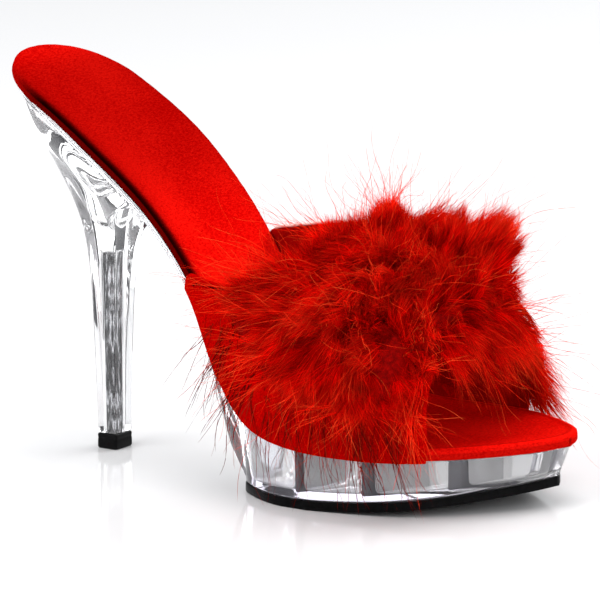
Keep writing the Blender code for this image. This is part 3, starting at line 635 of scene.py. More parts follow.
# the satin lies a little uneven over the padding and pulls in short folds at its rim
fold = noise(flat * np.array([1.0, 1.0, 1.0]), 17.0, 1) * 0.16 * smooth(d_grid / 6.0)
around = np.sin(2 * np.pi * (s_grid + 0.6 * y_grid) / 3.1 + 3 * noise(flat, 9.0, 2))
fold += 0.05 * around * np.exp(-((d_grid - 1.2) / 1.3) ** 2)
depth += fold
x_top, z_top = bed(s_grid, depth)
top = np.stack([x_top, y_grid, z_top], -1)
ds = 0.02
slope_r = (half_width(foot_s + ds) - half_width(np.maximum(foot_s - ds, 0))) / (foot_s + ds - np.maximum(foot_s - ds, 0))
slope_c = (shift_at(foot_s + ds) - shift_at(foot_s - ds)) / (2 * ds)
rings = []
for k, s in enumerate(foot_s):
    w, c = float(half_width(s)), float(shift_at(s))
    ring = [top[k]]
    sides = []
    for sign in (1, -1):
        dy = slope_c[k] + sign * slope_r[k]
        nrm = np.array([-dy * sign, 1.0 * 1.0]) / math.hypot(dy, 1.0)
        pts = []
        for inward, dep in SIDE:
            o = min(inward, 0.4 * w)
            ss, yy = s - nrm[0] * o, c + sign * (w - nrm[1] * o)
            ss = min(LENGTH, max(0.0, ss))
            x, z = bed(ss, dep)
            pts.append((float(x), yy, float(z)))
        sides.append(pts)
    low = []
    for f in (0.6, 0.2, -0.2, -0.6):
        x, z = bed(s, INSOLE_T)
        low.append((float(x), c + f * max(0.0, w - 1.1), float(z)))
    rings.append(np.concatenate([top[k], sides[0], low, sides[1][::-1]]))
verts, faces = loft_data(rings)
n_ring = len(rings[0])
first_low = len(top_t) + len(SIDE) - 1
last_low = first_low + 5
face_mats = [1 if (len(f) == 4 and first_low <= (k % n_ring) < last_low) else 0 for k, f in enumerate(faces)]
footbed = mesh_object("footbed", verts, faces, [SATIN, BOARD], face_mats, sharp=60)
# painted shade and painted highlights, kept in the 'shade' attribute: the cloth is darkened where it turns down over
# the rim, most on the outer side, and on the sides and bottom along the arch
n_top = len(top_t)
arch = smooth((foot_s - 6.0) / 22.0) * (1 - smooth((foot_s - 150.0) / 30.0))
tone = np.repeat((0.80 - 0.62 * arch)[:, None], len(rings[0]), axis=1)
side_share = np.where(t_grid < 0, 1.0, 0.30) * arch[:, None]
tone[:, :n_top] = 1.0 - side_share * (0.72 * np.exp(-(d_grid / 1.5) ** 2) + 0.26 * np.exp(-(d_grid / 5.0) ** 2))
# painted shade over the heel, painted highlights at the heel tip and near the band
tone[:, :n_top] *= 0.66 + 0.48 * smooth((s_grid - 60.0) / 60.0) + 0.30 * np.exp(-((s_grid - 3.0) / 7.0) ** 2) + 0.16 * np.exp(-((s_grid - 92.0) / 24.0) ** 2)
toe = smooth((s_grid - 165.0) / 20.0)
# painted highlight along the toe rim, with painted shade just inside it
tone[:, :n_top] *= 1.0 + toe * (0.30 * np.exp(-((d_grid - 1.1) / 0.5) ** 2) - 0.30 * np.exp(-((d_grid - 2.4) / 0.7) ** 2))
tone = np.concatenate([tone.ravel(), [0.3, 0.3]])
att = footbed.data.color_attributes.new("shade", "FLOAT_COLOR", "POINT")
att.data.foreach_set("color", np.stack([tone, tone, tone, np.ones(len(tone))], -1).astype(np.float32).ravel())
part(footbed, "insole")

# ---------------------------------------------------------------- clear platform
PLATE_TOP = INSOLE_T + GAP
PLATE_BOTTOM = PLATE_TOP + PLATE_T
SOLE_TOP = OUTSOLE_T + GAP
WALL_HEAD = tuple(float(a) for a in bed(WALL_TOP_S, PLATE_BOTTOM))
PLATE_REAR, PLATE_FRONT = 2.2, 2.0
#              top outer        top                 top inner  side  low inner     low             low outer side
RING_RADII = [0.55, 0.2, 0.2, 0.2, 0.55, 1.6, 0.7, 0.2, 0.2, 0.2, 0.7, 1.6]


def platform_ring(s):
    grow = float(smooth((s - 112.0) / 30.0))
    inset = PLATE_INSET + (TOP_INSET - PLATE_INSET) * grow
    inset += (SEAT_INSET - PLATE_INSET) * (1 - float(smooth((s - 8.0) / 40.0)))
    c = float(shift_at(s))
    w = float(inset_half_width(s, inset, PLATE_REAR, PLATE_FRONT))
    w = max(w, 0.3)
    xt, zt = (float(a) for a in bed(s, PLATE_TOP))
    top = [(xt, c + t * w, zt) for t in (-1, -0.5, 0, 0.5, 1)]
    if s <= WALL_TOP_S:
        xb, zb = (float(a) for a in bed(s, PLATE_BOTTOM))
        e = min(0.7, 0.3 * w)
        xm, zm = (float(a) for a in bed(s, PLATE_BOTTOM - 0.8))
        low = [(xm, c + w, zm), (xb, c + w - e, zb), (xb, c + 0.5 * w, zb), (xb, c, zb), (xb, c - 0.5 * w, zb),
               (xb, c - w + e, zb), (xm, c - w, zm)]
        return top + low
    if s < WALL_END_S:
        q = (s - WALL_TOP_S) / (WALL_END_S - WALL_TOP_S)
        xb = WALL_HEAD[0] + (SOLE_REAR_X - WALL_HEAD[0]) * q
        zb = WALL_HEAD[1] + (SOLE_TOP - WALL_HEAD[1]) * q
        lo0, hi0 = c - w, c + w
        lo1, hi1 = (float(a) for a in sole_edges(SOLE_REAR_X))
        k = float(wall_narrow(q))
        lo, hi = lo0 + (lo1 - lo0) * k, hi0 + (hi1 - hi0) * k
    else:
        xe = float(bed(WALL_END_S, PLATE_TOP)[0])
        tip_t = float(bed(LENGTH, PLATE_TOP)[0]) - TOP_INSET
        q = (xt - xe) / (tip_t - xe)
        xb = SOLE_REAR_X + (TOE_TIP_X - SOLE_INSET - SOLE_REAR_X) * min(1.0, q)
        zb = SOLE_TOP + float(rocker(xb))
        lo, hi = (float(a) for a in sole_edges(xb))
        if s > LENGTH - TOE_ROUND:
            mid = 0.5 * (lo + hi)
            r = min(0.5 * (hi - lo), max(0.25, w - 0.4))
            lo, hi = mid - r, mid + r
    mid, r = 0.5 * (lo + hi), 0.5 * (hi - lo)
    tl, tr, sm = top[0], top[-1], 0.55
    ml = (tl[0] * (1 - sm) + xb * sm, tl[1] * (1 - sm) + lo * sm - 0.35, tl[2] * (1 - sm) + zb * sm)
    mr = (tr[0] * (1 - sm) + xb * sm, tr[1] * (1 - sm) + hi * sm + 0.35, tr[2] * (1 - sm) + zb * sm)
    low = [mr, (xb, hi, zb), (xb, mid + 0.5 * r, zb), (xb, mid, zb), (xb, mid - 0.5 * r, zb), (xb, lo, zb), ml]
    return top + low


plat_s = np.concatenate([PLATE_REAR + np.array([0.03, 0.15, 0.4, 0.8, 1.4, 2.2, 3.2, 4.5, 6.2, 8.5, 11.0, 14.0]),
                         np.linspace(20, 122, 40), [WALL_TOP_S], np.linspace(125, 148, 12),
                         np.linspace(WALL_END_S + 0.05, 222, 38),
                         LENGTH - PLATE_FRONT - np.array([13.0, 10.5, 8.2, 6.2, 4.6, 3.2, 2.1, 1.3, 0.7, 0.3, 0.06])])
verts, faces = loft_data([rounded_ring(platform_ring(s), RING_RADII, 3) for s in plat_s])
platform = mesh_object("clear_platform", verts, faces, [PLASTIC], sharp=38)

POCKETS = [("a", 108.3, 107.7, 127.6, 127.6), ("b", 130.2, 130.2, 150.0, 150.0),
           ("c", 153.4, 153.4, 173.2, 173.2), ("d", 176.8, 176.8, 189.0, 190.5)]


def rib_centre(x):
    lo, hi = sole_edges(x)
    return 0.5 * (lo + hi) + RIB_Y


def pocket(tag, side, x0b, x0t, x1b, x1t):
    levels = 9

    def plan(k):
        """Outline of the hollow at share k of its height, rounded in at the floor."""
        x0, x1 = x0b + (x0t - x0b) * k, x1b + (x1t - x1b) * k
        wall = POCKET_WALL - k
        draw = 1.3 * (1 - math.sqrt(max(0.0, 1 - max(0.0, 1 - k / 0.11) ** 2)))
        x0, x1 = x0 + draw, x1 - draw
        pts = []
        for q in np.linspace(0, 1, 6):
            x = x0 + (x1 - x0) * q
            lo, hi = (float(a) for a in sole_edges(x))
            pts.append((x, (lo + wall + draw) if side < 0 else (hi - wall - draw), 0.0))
        for x in (x1, x0):
            pts.append((x, float(rib_centre(x)) + side * (RIB / 2 + draw), 0.0))
        return rounded_ring(pts, [3.4, 0.8, 0.8, 0.8, 0.8, 3.4, 3.0, 3.0], 5)

    rings = []
    for k in (0.0, 0.02, 0.045, 0.075, 0.11, 0.4, 0.7, 0.9, 1.0)[:levels]:
        ring = plan(k)
        z0 = SOLE_TOP + POCKET_FLOOR + rocker(ring[:, 0])
        z1 = bed(station_at_x(ring[:, 0]), 0.0)[1] + 2.0
        ring[:, 2] = z0 + (z1 - z0) * k
        rings.append(ring)
    v, f = loft_data(rings)
    n = len(rings[0])
    ends = [1 if (len(q) == 4 and ((j % n) in (33, 34, 35, 36, 37) or (j % n) in (45, 46, 47, 0, 1, 2))) else 0
            for j, q in enumerate(f)]
    return mesh_object("pocket_" + tag, v, f, [FROSTED_GLOW, RIB_SIDE_SHADE], ends)


boolean_cut(platform, [pocket(tag + ("o" if side < 0 else "i"), side, a, b, c, d)
                       for tag, a, b, c, d in POCKETS for side in (-1, 1)])
part(platform, "platform")

# painted shade: dark slabs inside the solid cross ribs, which make them look darker than the hollows between them
core = Mat("clear_rib_shade_core", Base_Color=(0.16, 0.16, 0.18, 1.0), Roughness=0.25, Transmission_Weight=0.30, IOR=1.49,
           Specular_IOR_Level=0.2)
core.normal(core.bump(core.noise(1.6, 3.0), 0.15, 0.1))
core.lets_light_through(0.80)
for k, (x_c, thick) in enumerate(((128.9, 1.3), (151.7, 2.3), (175.0, 2.9))):
    for side in (-1, 1):
        rings = []
        for q in (0.0, 0.04, 0.5, 0.96, 1.0):
            in_by = 0.25 if q in (0.0, 1.0) else 0.0
            ring = []
            for dx, wall in ((-1, 1.1), (1, 1.1), (1, None), (-1, None)):
                x = x_c + dx * (thick / 2 - in_by)
                lo, hi = (float(a) for a in sole_edges(x))
                centre_y = float(rib_centre(x)) + side * (RIB / 2 + 0.2)
                y = centre_y if wall is None else (lo + wall + in_by if side < 0 else hi - wall - in_by)
                z0 = SOLE_TOP + rocker(x) + POCKET_FLOOR - 0.6
                z1 = float(bed(station_at_x(x), PLATE_TOP + 0.8)[1])
                ring.append((x, y, z0 + (z1 - z0) * q))
            rings.append(rounded_ring(ring, [0.4] * 4, 2))
        v, f = loft_data(rings)
        part(mesh_object("rib_shade_slab_%d_%s" % (k + 1, "o" if side < 0 else "i"), v, f, [core.m]))

# ---------------------------------------------------------------- heel
HEEL_TOP = PLATE_BOTTOM + GAP
HEEL_Z0 = LIFT_T + GAP
seat = []
for s in [3.6, 4.6, 6.8, 10.2, 14.8, 20.5, 28.0, 38.0, 50.0, 62.0, HEEL_FRONT_S]:
    w = float(half_width(max(0.4, s - 2.6))) - PLATE_INSET - 0.5 - 2.2 * (1 - float(smooth((s - 10.0) / 40.0)))
    seat.append((s, max(1.2, w), float(smooth((s - 34.0) / 39.0))))
seat += [(HEEL_FRONT_S - 6.0 * (1 - t * t), seat[-1][1] * t, 1.0) for t in (0.8, 0.5, 0.0)]
x1, x0, h = LIFT_FRONT_X - 0.15, LIFT_FRONT_X - LIFT_LENGTH + 0.15, LIFT_HALF_W - 0.15
foot = [(x0, 0.25 * h), (x0, 0.5 * h), (x0, 0.72 * h), (x0 + 0.15, 0.88 * h), (x0 + 0.5, 0.97 * h), (x0 + 1.1, h),
        (x0 + 2.1, h), (x0 + 3.3, h), (x0 + 4.6, h), (x1 - 1.2, h), (x1 - 0.25, h - 0.2), (x1, 0.8 * h),
        (x1, 0.45 * h), (x1, 0.0)]
rows = []
for order, sign in ((range(14), -1), (range(12, -1, -1), 1)):
    for k in order:
        s, w, share = seat[k]
        x, z = bed(s, HEEL_TOP)
        rows.append((float(x), float(shift_at(s)) + sign * w, float(z), foot[k][0], sign * foot[k][1], share))
rows = closed_curve(rows, 4)
rings = []
for v in np.concatenate([[0.0, 0.004, 0.012], np.linspace(0.03, 0.97, 60), [0.98, 0.99, 0.996, 1.0]]):
    fr, ff = float(rear_flare(v)), float(breast_flare(v))
    share = np.clip(rows[:, 5], 0, 1)
    z = HEEL_Z0 + (rows[:, 2] - HEEL_Z0) * v
    f_x = fr * (1 - share) + ff * share
    f_side = rear_flare(np.minimum(1.0, (z - HEEL_Z0) / (121.0 - HEEL_Z0)))
    late = smooth((v - 0.80) / 0.20)
    f_y = np.maximum(f_side, f_side * (1 - late) + late)
    px = rows[:, 3] + (rows[:, 0] - rows[:, 3]) * f_x
    py = rows[:, 4] + (rows[:, 1] - rows[:, 4]) * f_y
    # rounded arris at both ends
    trim = 0.35 * max(0.0, 1 - v / 0.006) + 0.25 * max(0.0, (v - 0.992) / 0.008)
    cx, cy = px.mean(), py.mean()
    r = np.maximum(np.hypot(px - cx, py - cy), 1e-6)
    rings.append(np.stack([px - (px - cx) / r * trim, py - (py - cy) / r * trim, z], -1))
verts, faces = loft_data(rings)
heel = mesh_object("clear_heel", verts, faces, [HEEL_PLASTIC], sharp=42)


def turned(name, profile, centre, segments, mat):
    a = 2 * np.pi * np.arange(segments) / segments
    rings = [np.stack([centre[0] + r * np.cos(a), centre[1] + r * np.sin(a), np.full(segments, z)], -1)
             for r, z in profile]
    v, f = loft_data(rings)
    return mesh_object(name, v, f, [mat])


cup_r = monotone([(74.0, 0.6), (75.2, 3.4), (77.0, 5.2), (80.0, 6.0), (86.0, 6.7), (97.0, 8.2), (125.0, 10.5)])
cup = turned("cup", [(float(cup_r(z)), z) for z in [74, 74.4, 75, 75.8, 77, 78.5, 80, 83, 86, 90, 94, 97, 104, 112, 125]],
             (31.5, 0.0), 64, HEEL_PLASTIC)
bore = turned("bore", [(PIN_R + GAP, HEEL_Z0 - 2.0), (PIN_R + GAP, 40.0), (PIN_R + GAP, PIN_TOP), (PIN_R - 0.2, PIN_TOP + 0.5)],
              (PIN_X, 0.0), 40, HEEL_PLASTIC)
boolean_cut(heel, [bore, cup])
part(heel, "heel")

# steel pin: a rolled dowel with a slit, and worn rings round it
slit = 0.32
pin_a = np.linspace(slit, 2 * np.pi - slit, 41) + math.radians(205)
outer_z = np.linspace(LIFT_T + 0.55, PIN_TOP - 0.3, 64)
rings = []
for z in outer_z:
    end = min(z - outer_z[0], outer_z[-1] - z)
    r = PIN_R - 0.35 * max(0.0, 1 - end / 0.7) - 0.06 * (1 - math.cos(2 * math.pi * z / 5.6)) * 0.5
    ro = np.stack([PIN_X + r * np.cos(pin_a), r * np.sin(pin_a), np.full(41, z)], -1)
    ri = np.stack([PIN_X + (PIN_R - 0.8) * np.cos(pin_a), (PIN_R - 0.8) * np.sin(pin_a), np.full(41, z)], -1)
    rings.append(np.concatenate([ro, ri[::-1]]))
n_pin = len(rings[0])
verts = np.concatenate(rings)
faces = []
for k in range(len(rings) - 1):
    for i in range(n_pin):
        j = (i + 1) % n_pin
        faces.append((k * n_pin + i, k * n_pin + j, (k + 1) * n_pin + j, (k + 1) * n_pin + i))
for base_k in (0, (len(rings) - 1) * n_pin):
    for i in range(40):
        faces.append((base_k + i, base_k + i + 1, base_k + n_pin - 2 - i, base_k + n_pin - 1 - i))
part(mesh_object("steel_pin", verts, faces, [STEEL], sharp=50), "heel_pin")

# ---------------------------------------------------------------- top lift
corner = [(LIFT_FRONT_X, -LIFT_HALF_W), (LIFT_FRONT_X, LIFT_HALF_W), (LIFT_FRONT_X - LIFT_LENGTH, LIFT_HALF_W),
          (LIFT_FRONT_X - LIFT_LENGTH, -LIFT_HALF_W)]
cx, cy = LIFT_FRONT_X - LIFT_LENGTH / 2, 0.0
rings = []
for z, inset in ((0.0, 0.55), (0.12, 0.25), (0.4, 0.05), (0.8, 0.0), (2.0, 0.0), (3.2, 0.05), (3.45, 0.14), (3.7, 0.05),
                 (4.4, 0.0), (4.8, 0.08), (4.95, 0.25), (5.0, 0.5)):
    pts = [(x - math.copysign(inset, x - cx), y - math.copysign(inset, y - cy), z) for x, y in corner]
    rings.append(rounded_ring(pts, [0.9] * 4, 6))
verts, faces = loft_data(rings)
part(mesh_object("heel_tip", verts, faces, [TIP], sharp=50), "top_lift")

# ---------------------------------------------------------------- outsole
rings = []
out_x = np.concatenate([SOLE_REAR_X - 0.2 + np.array([0.0, 0.1, 0.3, 0.7, 1.3, 2.2, 3.4, 5.0, 7.0]),
                        np.linspace(110, 184, 75), [186, 187.8, 189.4, 190.8, 192, 193, 193.8, 194.4, 194.8, 195.0]])
for x in out_x:
    lo, hi = (float(a) for a in sole_edges(x, SOLE_INSET - 0.2))
    z = float(rocker(x))
    e = min(0.5, 0.3 * 0.5 * (hi - lo))
    r = 0.5 * (hi - lo)
    row = [(x, lo + 0.12, z + OUTSOLE_T), (x, hi - 0.12, z + OUTSOLE_T), (x, hi, z + OUTSOLE_T - 0.25), (x, hi, z + e),
           (x, hi - 0.3 * e, z + 0.3 * e), (x, hi - e, z)]
    for q in np.linspace(0.92, -0.92, 24):
        groove = 0.35 if (0.10 < ((x - 104.0) / 4.4) % 1.0 < 0.32 and abs(q) < 0.84 and 106 < x < 186) else 0.0
        row.append((x, 0.5 * (lo + hi) + q * (r - e), z + groove))
    row += [(x, lo + e, z), (x, lo + 0.3 * e, z + 0.3 * e), (x, lo, z + e), (x, lo, z + OUTSOLE_T - 0.25)]
    rings.append(np.array(row))
verts, faces = loft_data(rings)
n_ring = len(rings[0])
face_mats = [1 if (len(f) == 4 and 4 <= (k % n_ring) < 30) else 0 for k, f in enumerate(faces)]
part(mesh_object("rubber_outsole", verts, faces, [RUBBER, TREAD], face_mats, sharp=45), "outsole")

# ---------------------------------------------------------------- satin band
band_v = np.concatenate([np.linspace(0, 0.06, 6), np.linspace(0.08, 0.92, 46), np.linspace(0.94, 1.0, 6)])
band_u = np.sort(np.concatenate([np.linspace(0, 0.14, 26), np.linspace(0.155, 0.845, 70), np.linspace(0.86, 1.0, 26)]))
bv, bu = np.meshgrid(band_v, band_u, indexing="ij")
# the rear corners are cut round where the band goes under the footbed
def corner(u):
    return (0.075 * np.clip(1 - u / 0.045, 0, 1) ** 2 + 0.03 * np.clip(1 - (1 - u) / 0.03, 0, 1) ** 2)


bv = bv + corner(bu) * np.clip(1 - bv / 0.5, 0, 1)
mid = band(bv, bu)
tan_v, tan_u, nrm = band_frame(bv, bu)
nrm = nrm * NORMAL_SIGN
low_edge = np.minimum(bu, 1 - bu)
# short folds where the satin is drawn under the footbed, and soft swells above
pull = np.exp(-(low_edge / 0.05) ** 2) * np.sin(2 * np.pi * (bv * 27 + 1.2 * noise(mid, 14.0, 1)))
pull *= (0.08 + 0.24 * np.exp(-((bv - 0.10) / 0.16) ** 2)) * smooth(low_edge / 0.02)
swell = 0.25 * noise(mid, 15.0, 2) * smooth(low_edge / 0.08)
near_edge = smooth(np.minimum(bv, 1 - bv) / 0.05)
lift_n = (pull + swell) * near_edge
stitch_v = {"front": 0.968, "throat": 0.035}
seam = 0.16 * (np.exp(-((bv - stitch_v["front"]) / 0.007) ** 2) + np.exp(-((bv - stitch_v["throat"]) / 0.009) ** 2))
outer = mid + nrm * (UPPER_T / 2 + lift_n - seam)[..., None]
inner = mid - nrm * (UPPER_T / 2 - 0.3 * lift_n)[..., None]
rings = []
for j in range(len(band_u)):
    ring = [outer[i, j] for i in range(len(band_v))]
    for end, sign in ((-1, 1.0), (0, -1.0)):
        roll = []
        for a in (30, 60, 90, 120, 150):
            c, s = math.cos(math.radians(a)), math.sin(math.radians(a))
            roll.append(mid[end, j] + nrm[end, j] * c * UPPER_T / 2 + tan_v[end, j] * sign * s * UPPER_T * 0.42)
        if sign > 0:
            ring += roll
            ring += [inner[i, j] for i in range(len(band_v) - 1, -1, -1)]
        else:
            ring += roll[::-1]
    rings.append(np.array(ring))
verts, faces = loft_data(rings)
n_ring, nv = len(rings[0]), len(band_v)
face_mats = []
for k, f in enumerate(faces):
    i = k % n_ring
    if len(f) == 3:
        face_mats.append(0)
    elif i < nv + 2:
        face_mats.append(0)
    elif i < 2 * nv + 5:
        face_mats.append(1)
    else:
        face_mats.append(0)
part(mesh_object("band", verts, faces, [SATIN_BAND, LINING], face_mats, sharp=70), "upper")


def tube(points, radius, sides=6, closed_caps=True):
    """Rings of a thin tube along the points."""
    p = np.asarray(points, float)
    t = unit(np.gradient(p, axis=0))
    ref = unit(np.cross(t, np.array([0.13, 0.31, 0.94])))
    other = unit(np.cross(t, ref))
    a = 2 * np.pi * np.arange(sides) / sides
    r = radius if np.ndim(radius) else np.full(len(p), radius)
    return (p[:, None, :] + (ref[:, None, :] * np.cos(a)[None, :, None]
                             + other[:, None, :] * np.sin(a)[None, :, None]) * r[:, None, None])


# a pale tube just inside the throat: partly the lining's cut edge, partly a painted highlight along that edge
pipe_u = np.linspace(0.40, 0.97, 100)
pv = band(corner(pipe_u), pipe_u)
ptv, ptu, pn = band_frame(corner(pipe_u), pipe_u)
path = pv - pn * NORMAL_SIGN * (UPPER_T / 2 - 0.15) - ptv * (0.90 + 0.08 * np.sin(pipe_u * 160))[:, None]
verts, faces = loft_data(tube(path, 0.52))
part(mesh_object("throat_binding", verts, faces, [THROAT_EDGE_AND_HIGHLIGHT], sharp=80))


def stitch_row(v, u0, u1, pitch, length, out):
    us = np.linspace(u0, u1, 900)
    p = band(v + corner(us) * (1 - v), us)
    arc = np.concatenate([[0], np.cumsum(np.linalg.norm(np.diff(p, axis=0), axis=1))])
    all_v, all_f = [], []
    n = 0
    for a in np.arange(0.5, arc[-1] - pitch, pitch):
        u = np.interp([a + length * q for q in (0.0, 0.25, 0.5, 0.75, 1.0)], arc, us)
        q = band(v + corner(u) * (1 - v), u)
        nn = band_frame(v + corner(u) * (1 - v), u)[2] * NORMAL_SIGN
        hump = np.array([-0.10, 0.06, 0.11, 0.06, -0.10])
        line = q + nn * (UPPER_T / 2 + out + hump)[:, None]
        vv, ff = loft_data(tube(line, np.array([0.16, 0.30, 0.34, 0.30, 0.16]), 6))
        all_v.append(vv)
        all_f += [tuple(i + n for i in f) for f in ff]
        n += len(vv)
    return np.concatenate(all_v), all_f


v1, f1 = stitch_row(stitch_v["front"], 0.02, 0.98, 1.25, 0.85, 0.08)
v2, f2 = stitch_row(stitch_v["throat"], 0.02, 0.98, 1.25, 0.85, -0.06)
part(mesh_object("stitches", np.concatenate([v1, v2]), f1 + [tuple(i + len(v1) for i in f) for f in f2], [THREAD_AND_GROOVE_SHADE],
                 sharp=80))

# ---------------------------------------------------------------- marabou: down close to the band
def fur_height(v, u):
    return fur_along(v) * fur_round(u)


def fur_lean(v, u, nn):
    d = nn + np.stack([-0.10 * v, 0 * v, 0.10 - 0.35 * np.abs(2 * u - 1) ** 2], -1)
    return unit(d)


fv, fu = np.meshgrid(np.linspace(0.065, 0.98, 64), np.linspace(0.07, 0.93, 90), indexing="ij")
fm = band(fv, fu)
fn = band_frame(fv, fu)[2] * NORMAL_SIGN
low_in = fm + fn * (UPPER_T / 2 + 0.35)
border = smooth(np.minimum(np.minimum(fv - 0.065, 0.98 - fv) / 0.10, np.minimum(fu - 0.07, 0.93 - fu) / 0.08))
lump = (0.38 + 0.13 * noise(fm, 7.0, 0) + 0.08 * noise(fm, 3.0, 1)) * (0.04 + 0.96 * border)
low_out = low_in + fur_lean(fv, fu, fn) * (fur_height(fv, fu) * lump)[..., None]
low_out += np.stack([noise(fm, 4.0, 2), noise(fm, 4.0, 3), noise(fm, 4.0, 0)], -1) * 0.7 * border[..., None]
r, c = fv.shape
idx = np.arange(r * c).reshape(r, c)
a, b, d, e = idx[:-1, :-1].ravel(), idx[:-1, 1:].ravel(), idx[1:, 1:].ravel(), idx[1:, :-1].ravel()
faces = np.stack([a, b, d, e], 1).tolist() + (np.stack([e, d, b, a], 1) + r * c).tolist()
rim = list(idx[0, :]) + list(idx[1:, -1]) + list(idx[-1, -2::-1]) + list(idx[-2:0:-1, 0])
for i, j in zip(rim, rim[1:] + rim[:1]):
    faces.append((int(i), int(j), int(j) + r * c, int(i) + r * c))
verts = np.concatenate([low_out.reshape(-1, 3), low_in.reshape(-1, 3)])
part(mesh_object("marabou_down_painted_shade", verts, faces, [FLUFF_SHADE], sharp=0), "marabou_trim")

# ---------------------------------------------------------------- marabou: plumes
LIMIT_LOW = np.array([CAD_LOW[0], CAD_LOW[1], 0.0]) / MM - SHIFT - np.array([15.0, 12.2, 0.0])
LIMIT_HIGH = np.array([CAD_HIGH[0], CAD_HIGH[1], CAD_HIGH[2]]) / MM - SHIFT + np.array([15.0, 12.2, 12.0])
LIMIT_LOW[2] = 0.4


def random_units(n):
    return unit(RNG.normal(size=(n, 3)))


def strands(name, curves, widths, tints, side):
    """One mesh of thin blades. curves (n, 4, 3), widths (n, 3), tints (n, 4, 3), side (n, 3)."""
    ok = ((curves > LIMIT_LOW) & (curves < LIMIT_HIGH)).all(axis=(1, 2))
    curves, widths, tints, side = curves[ok], widths[ok], tints[ok], side[ok]
    n = len(curves)
    tang = np.gradient(curves, axis=1)
    across = unit(np.cross(tang, side[:, None, :]))
    verts = np.zeros((n, 7, 3))
    cols = np.zeros((n, 7, 4), np.float32)
    cols[..., 3] = 1.0
    for k in range(3):
        verts[:, 2 * k] = curves[:, k] - across[:, k] * widths[:, k, None] / 2
        verts[:, 2 * k + 1] = curves[:, k] + across[:, k] * widths[:, k, None] / 2
        cols[:, 2 * k, :3] = cols[:, 2 * k + 1, :3] = tints[:, k]
    verts[:, 6] = curves[:, 3]
    cols[:, 6, :3] = tints[:, 3]
    tri = np.array([(0, 1, 3), (0, 3, 2), (2, 3, 5), (2, 5, 4), (4, 5, 6)])
    faces = (tri[None] + 7 * np.arange(n)[:, None, None]).reshape(-1, 3)
    mesh = bpy.data.meshes.new(name)
    mesh.vertices.add(7 * n)
    mesh.vertices.foreach_set("co", ((verts.reshape(-1, 3) + SHIFT) * MM).astype(np.float32).ravel())
    mesh.loops.add(len(faces) * 3)
    mesh.loops.foreach_set("vertex_index", faces.astype(np.int32).ravel())
    mesh.polygons.add(len(faces))
    mesh.polygons.foreach_set("loop_start", np.arange(0, len(faces) * 3, 3, dtype=np.int32))
    mesh.polygons.foreach_set("loop_total", np.full(len(faces), 3, np.int32))
    mesh.update(calc_edges=True)
    tint = mesh.color_attributes.new("tint", "FLOAT_COLOR", "POINT")
    tint.data.foreach_set("color", cols.ravel())
    mesh.materials.append(DOWN)
    mesh.shade_smooth()
    ob = bpy.data.objects.new(name, mesh)
    bpy.context.scene.collection.objects.link(ob)
    part(ob)
    return ob


# the dark root colour is painted shade deep in the pile; the tip colours are painted light through the thin ends
ROOT_SHADE_RED = np.array([0.24, 0.0004, 0.0002])
MID_RED = np.array([0.95, 0.0016, 0.0004])
TIP_RED = np.array([1.0, 0.012, 0.003])
PALE_TIP_GLOW = np.array([1.0, 0.14, 0.04])


def blend_colour(t, warm):
    """Colour along a strand: dark at the skin, a painted shade deep in the pile, bright red, then lighter and orange at
    the thin end, painted light shining through it.
    """
    t = np.clip(t, 0, 1)[..., None]
    warm = warm[..., None]
    low = ROOT_SHADE_RED + (MID_RED - ROOT_SHADE_RED) * np.clip(t / 0.42, 0, 1)
    tip_c = TIP_RED + (PALE_TIP_GLOW - TIP_RED) * warm
    return low + (tip_c - low) * np.clip((t - 0.5) / 0.5, 0, 1) ** 1.6 * (0.45 + 0.55 * warm)


def pile_point(v, u, share):
    """Point at a share of the pile's height over the band; past the front edge it goes straight on."""
    vc = np.clip(v, 0.0, 1.0)
    tv, _, nn = band_frame(vc, u)
    nn = nn * NORMAL_SIGN
    p = band(vc, u) + nn * 1.5 + fur_lean(vc, u, nn) * (fur_height(vc, u) * share)[..., None]
    return p + tv * ((v - vc) * 48.0)[..., None]


# places for the plumes, spread so that none sit on top of each other
N_PLUMES, SPACE = 1250, 2.1
cand_v = 0.06 + 0.925 * RNG.random(26000)
cand_u = 0.12 + 0.815 * RNG.random(26000)
cand_p = band(cand_v, cand_u)
chosen, cells = [], {}
for i, p in enumerate(cand_p):
    key = tuple(int(a) for a in np.floor(p / SPACE))
    near = False
    for dx in (-1, 0, 1):
        for dy in (-1, 0, 1):
            for dz in (-1, 0, 1):
                for j in cells.get((key[0] + dx, key[1] + dy, key[2] + dz), ()):
                    if ((cand_p[j] - p) ** 2).sum() < SPACE ** 2:
                        near = True
    if not near:
        chosen.append(i)
        cells.setdefault(key, []).append(i)
    if len(chosen) >= N_PLUMES:
        break
pl_v, pl_u = cand_v[chosen], cand_u[chosen]
n_pl = len(pl_v)
pl_p = cand_p[chosen]
pl_n = band_frame(pl_v, pl_u)[2] * NORMAL_SIGN

# a short row stands over the throat edge
extra_v = 0.015 + 0.075 * RNG.random(150)
extra_u = 0.13 + 0.62 * RNG.random(150)
first_extra = len(pl_v)
pl_v, pl_u = np.concatenate([pl_v, extra_v]), np.concatenate([pl_u, extra_u])
pl_p, n_pl = band(pl_v, pl_u), len(pl_v)
pl_n = band_frame(pl_v, pl_u)[2] * NORMAL_SIGN

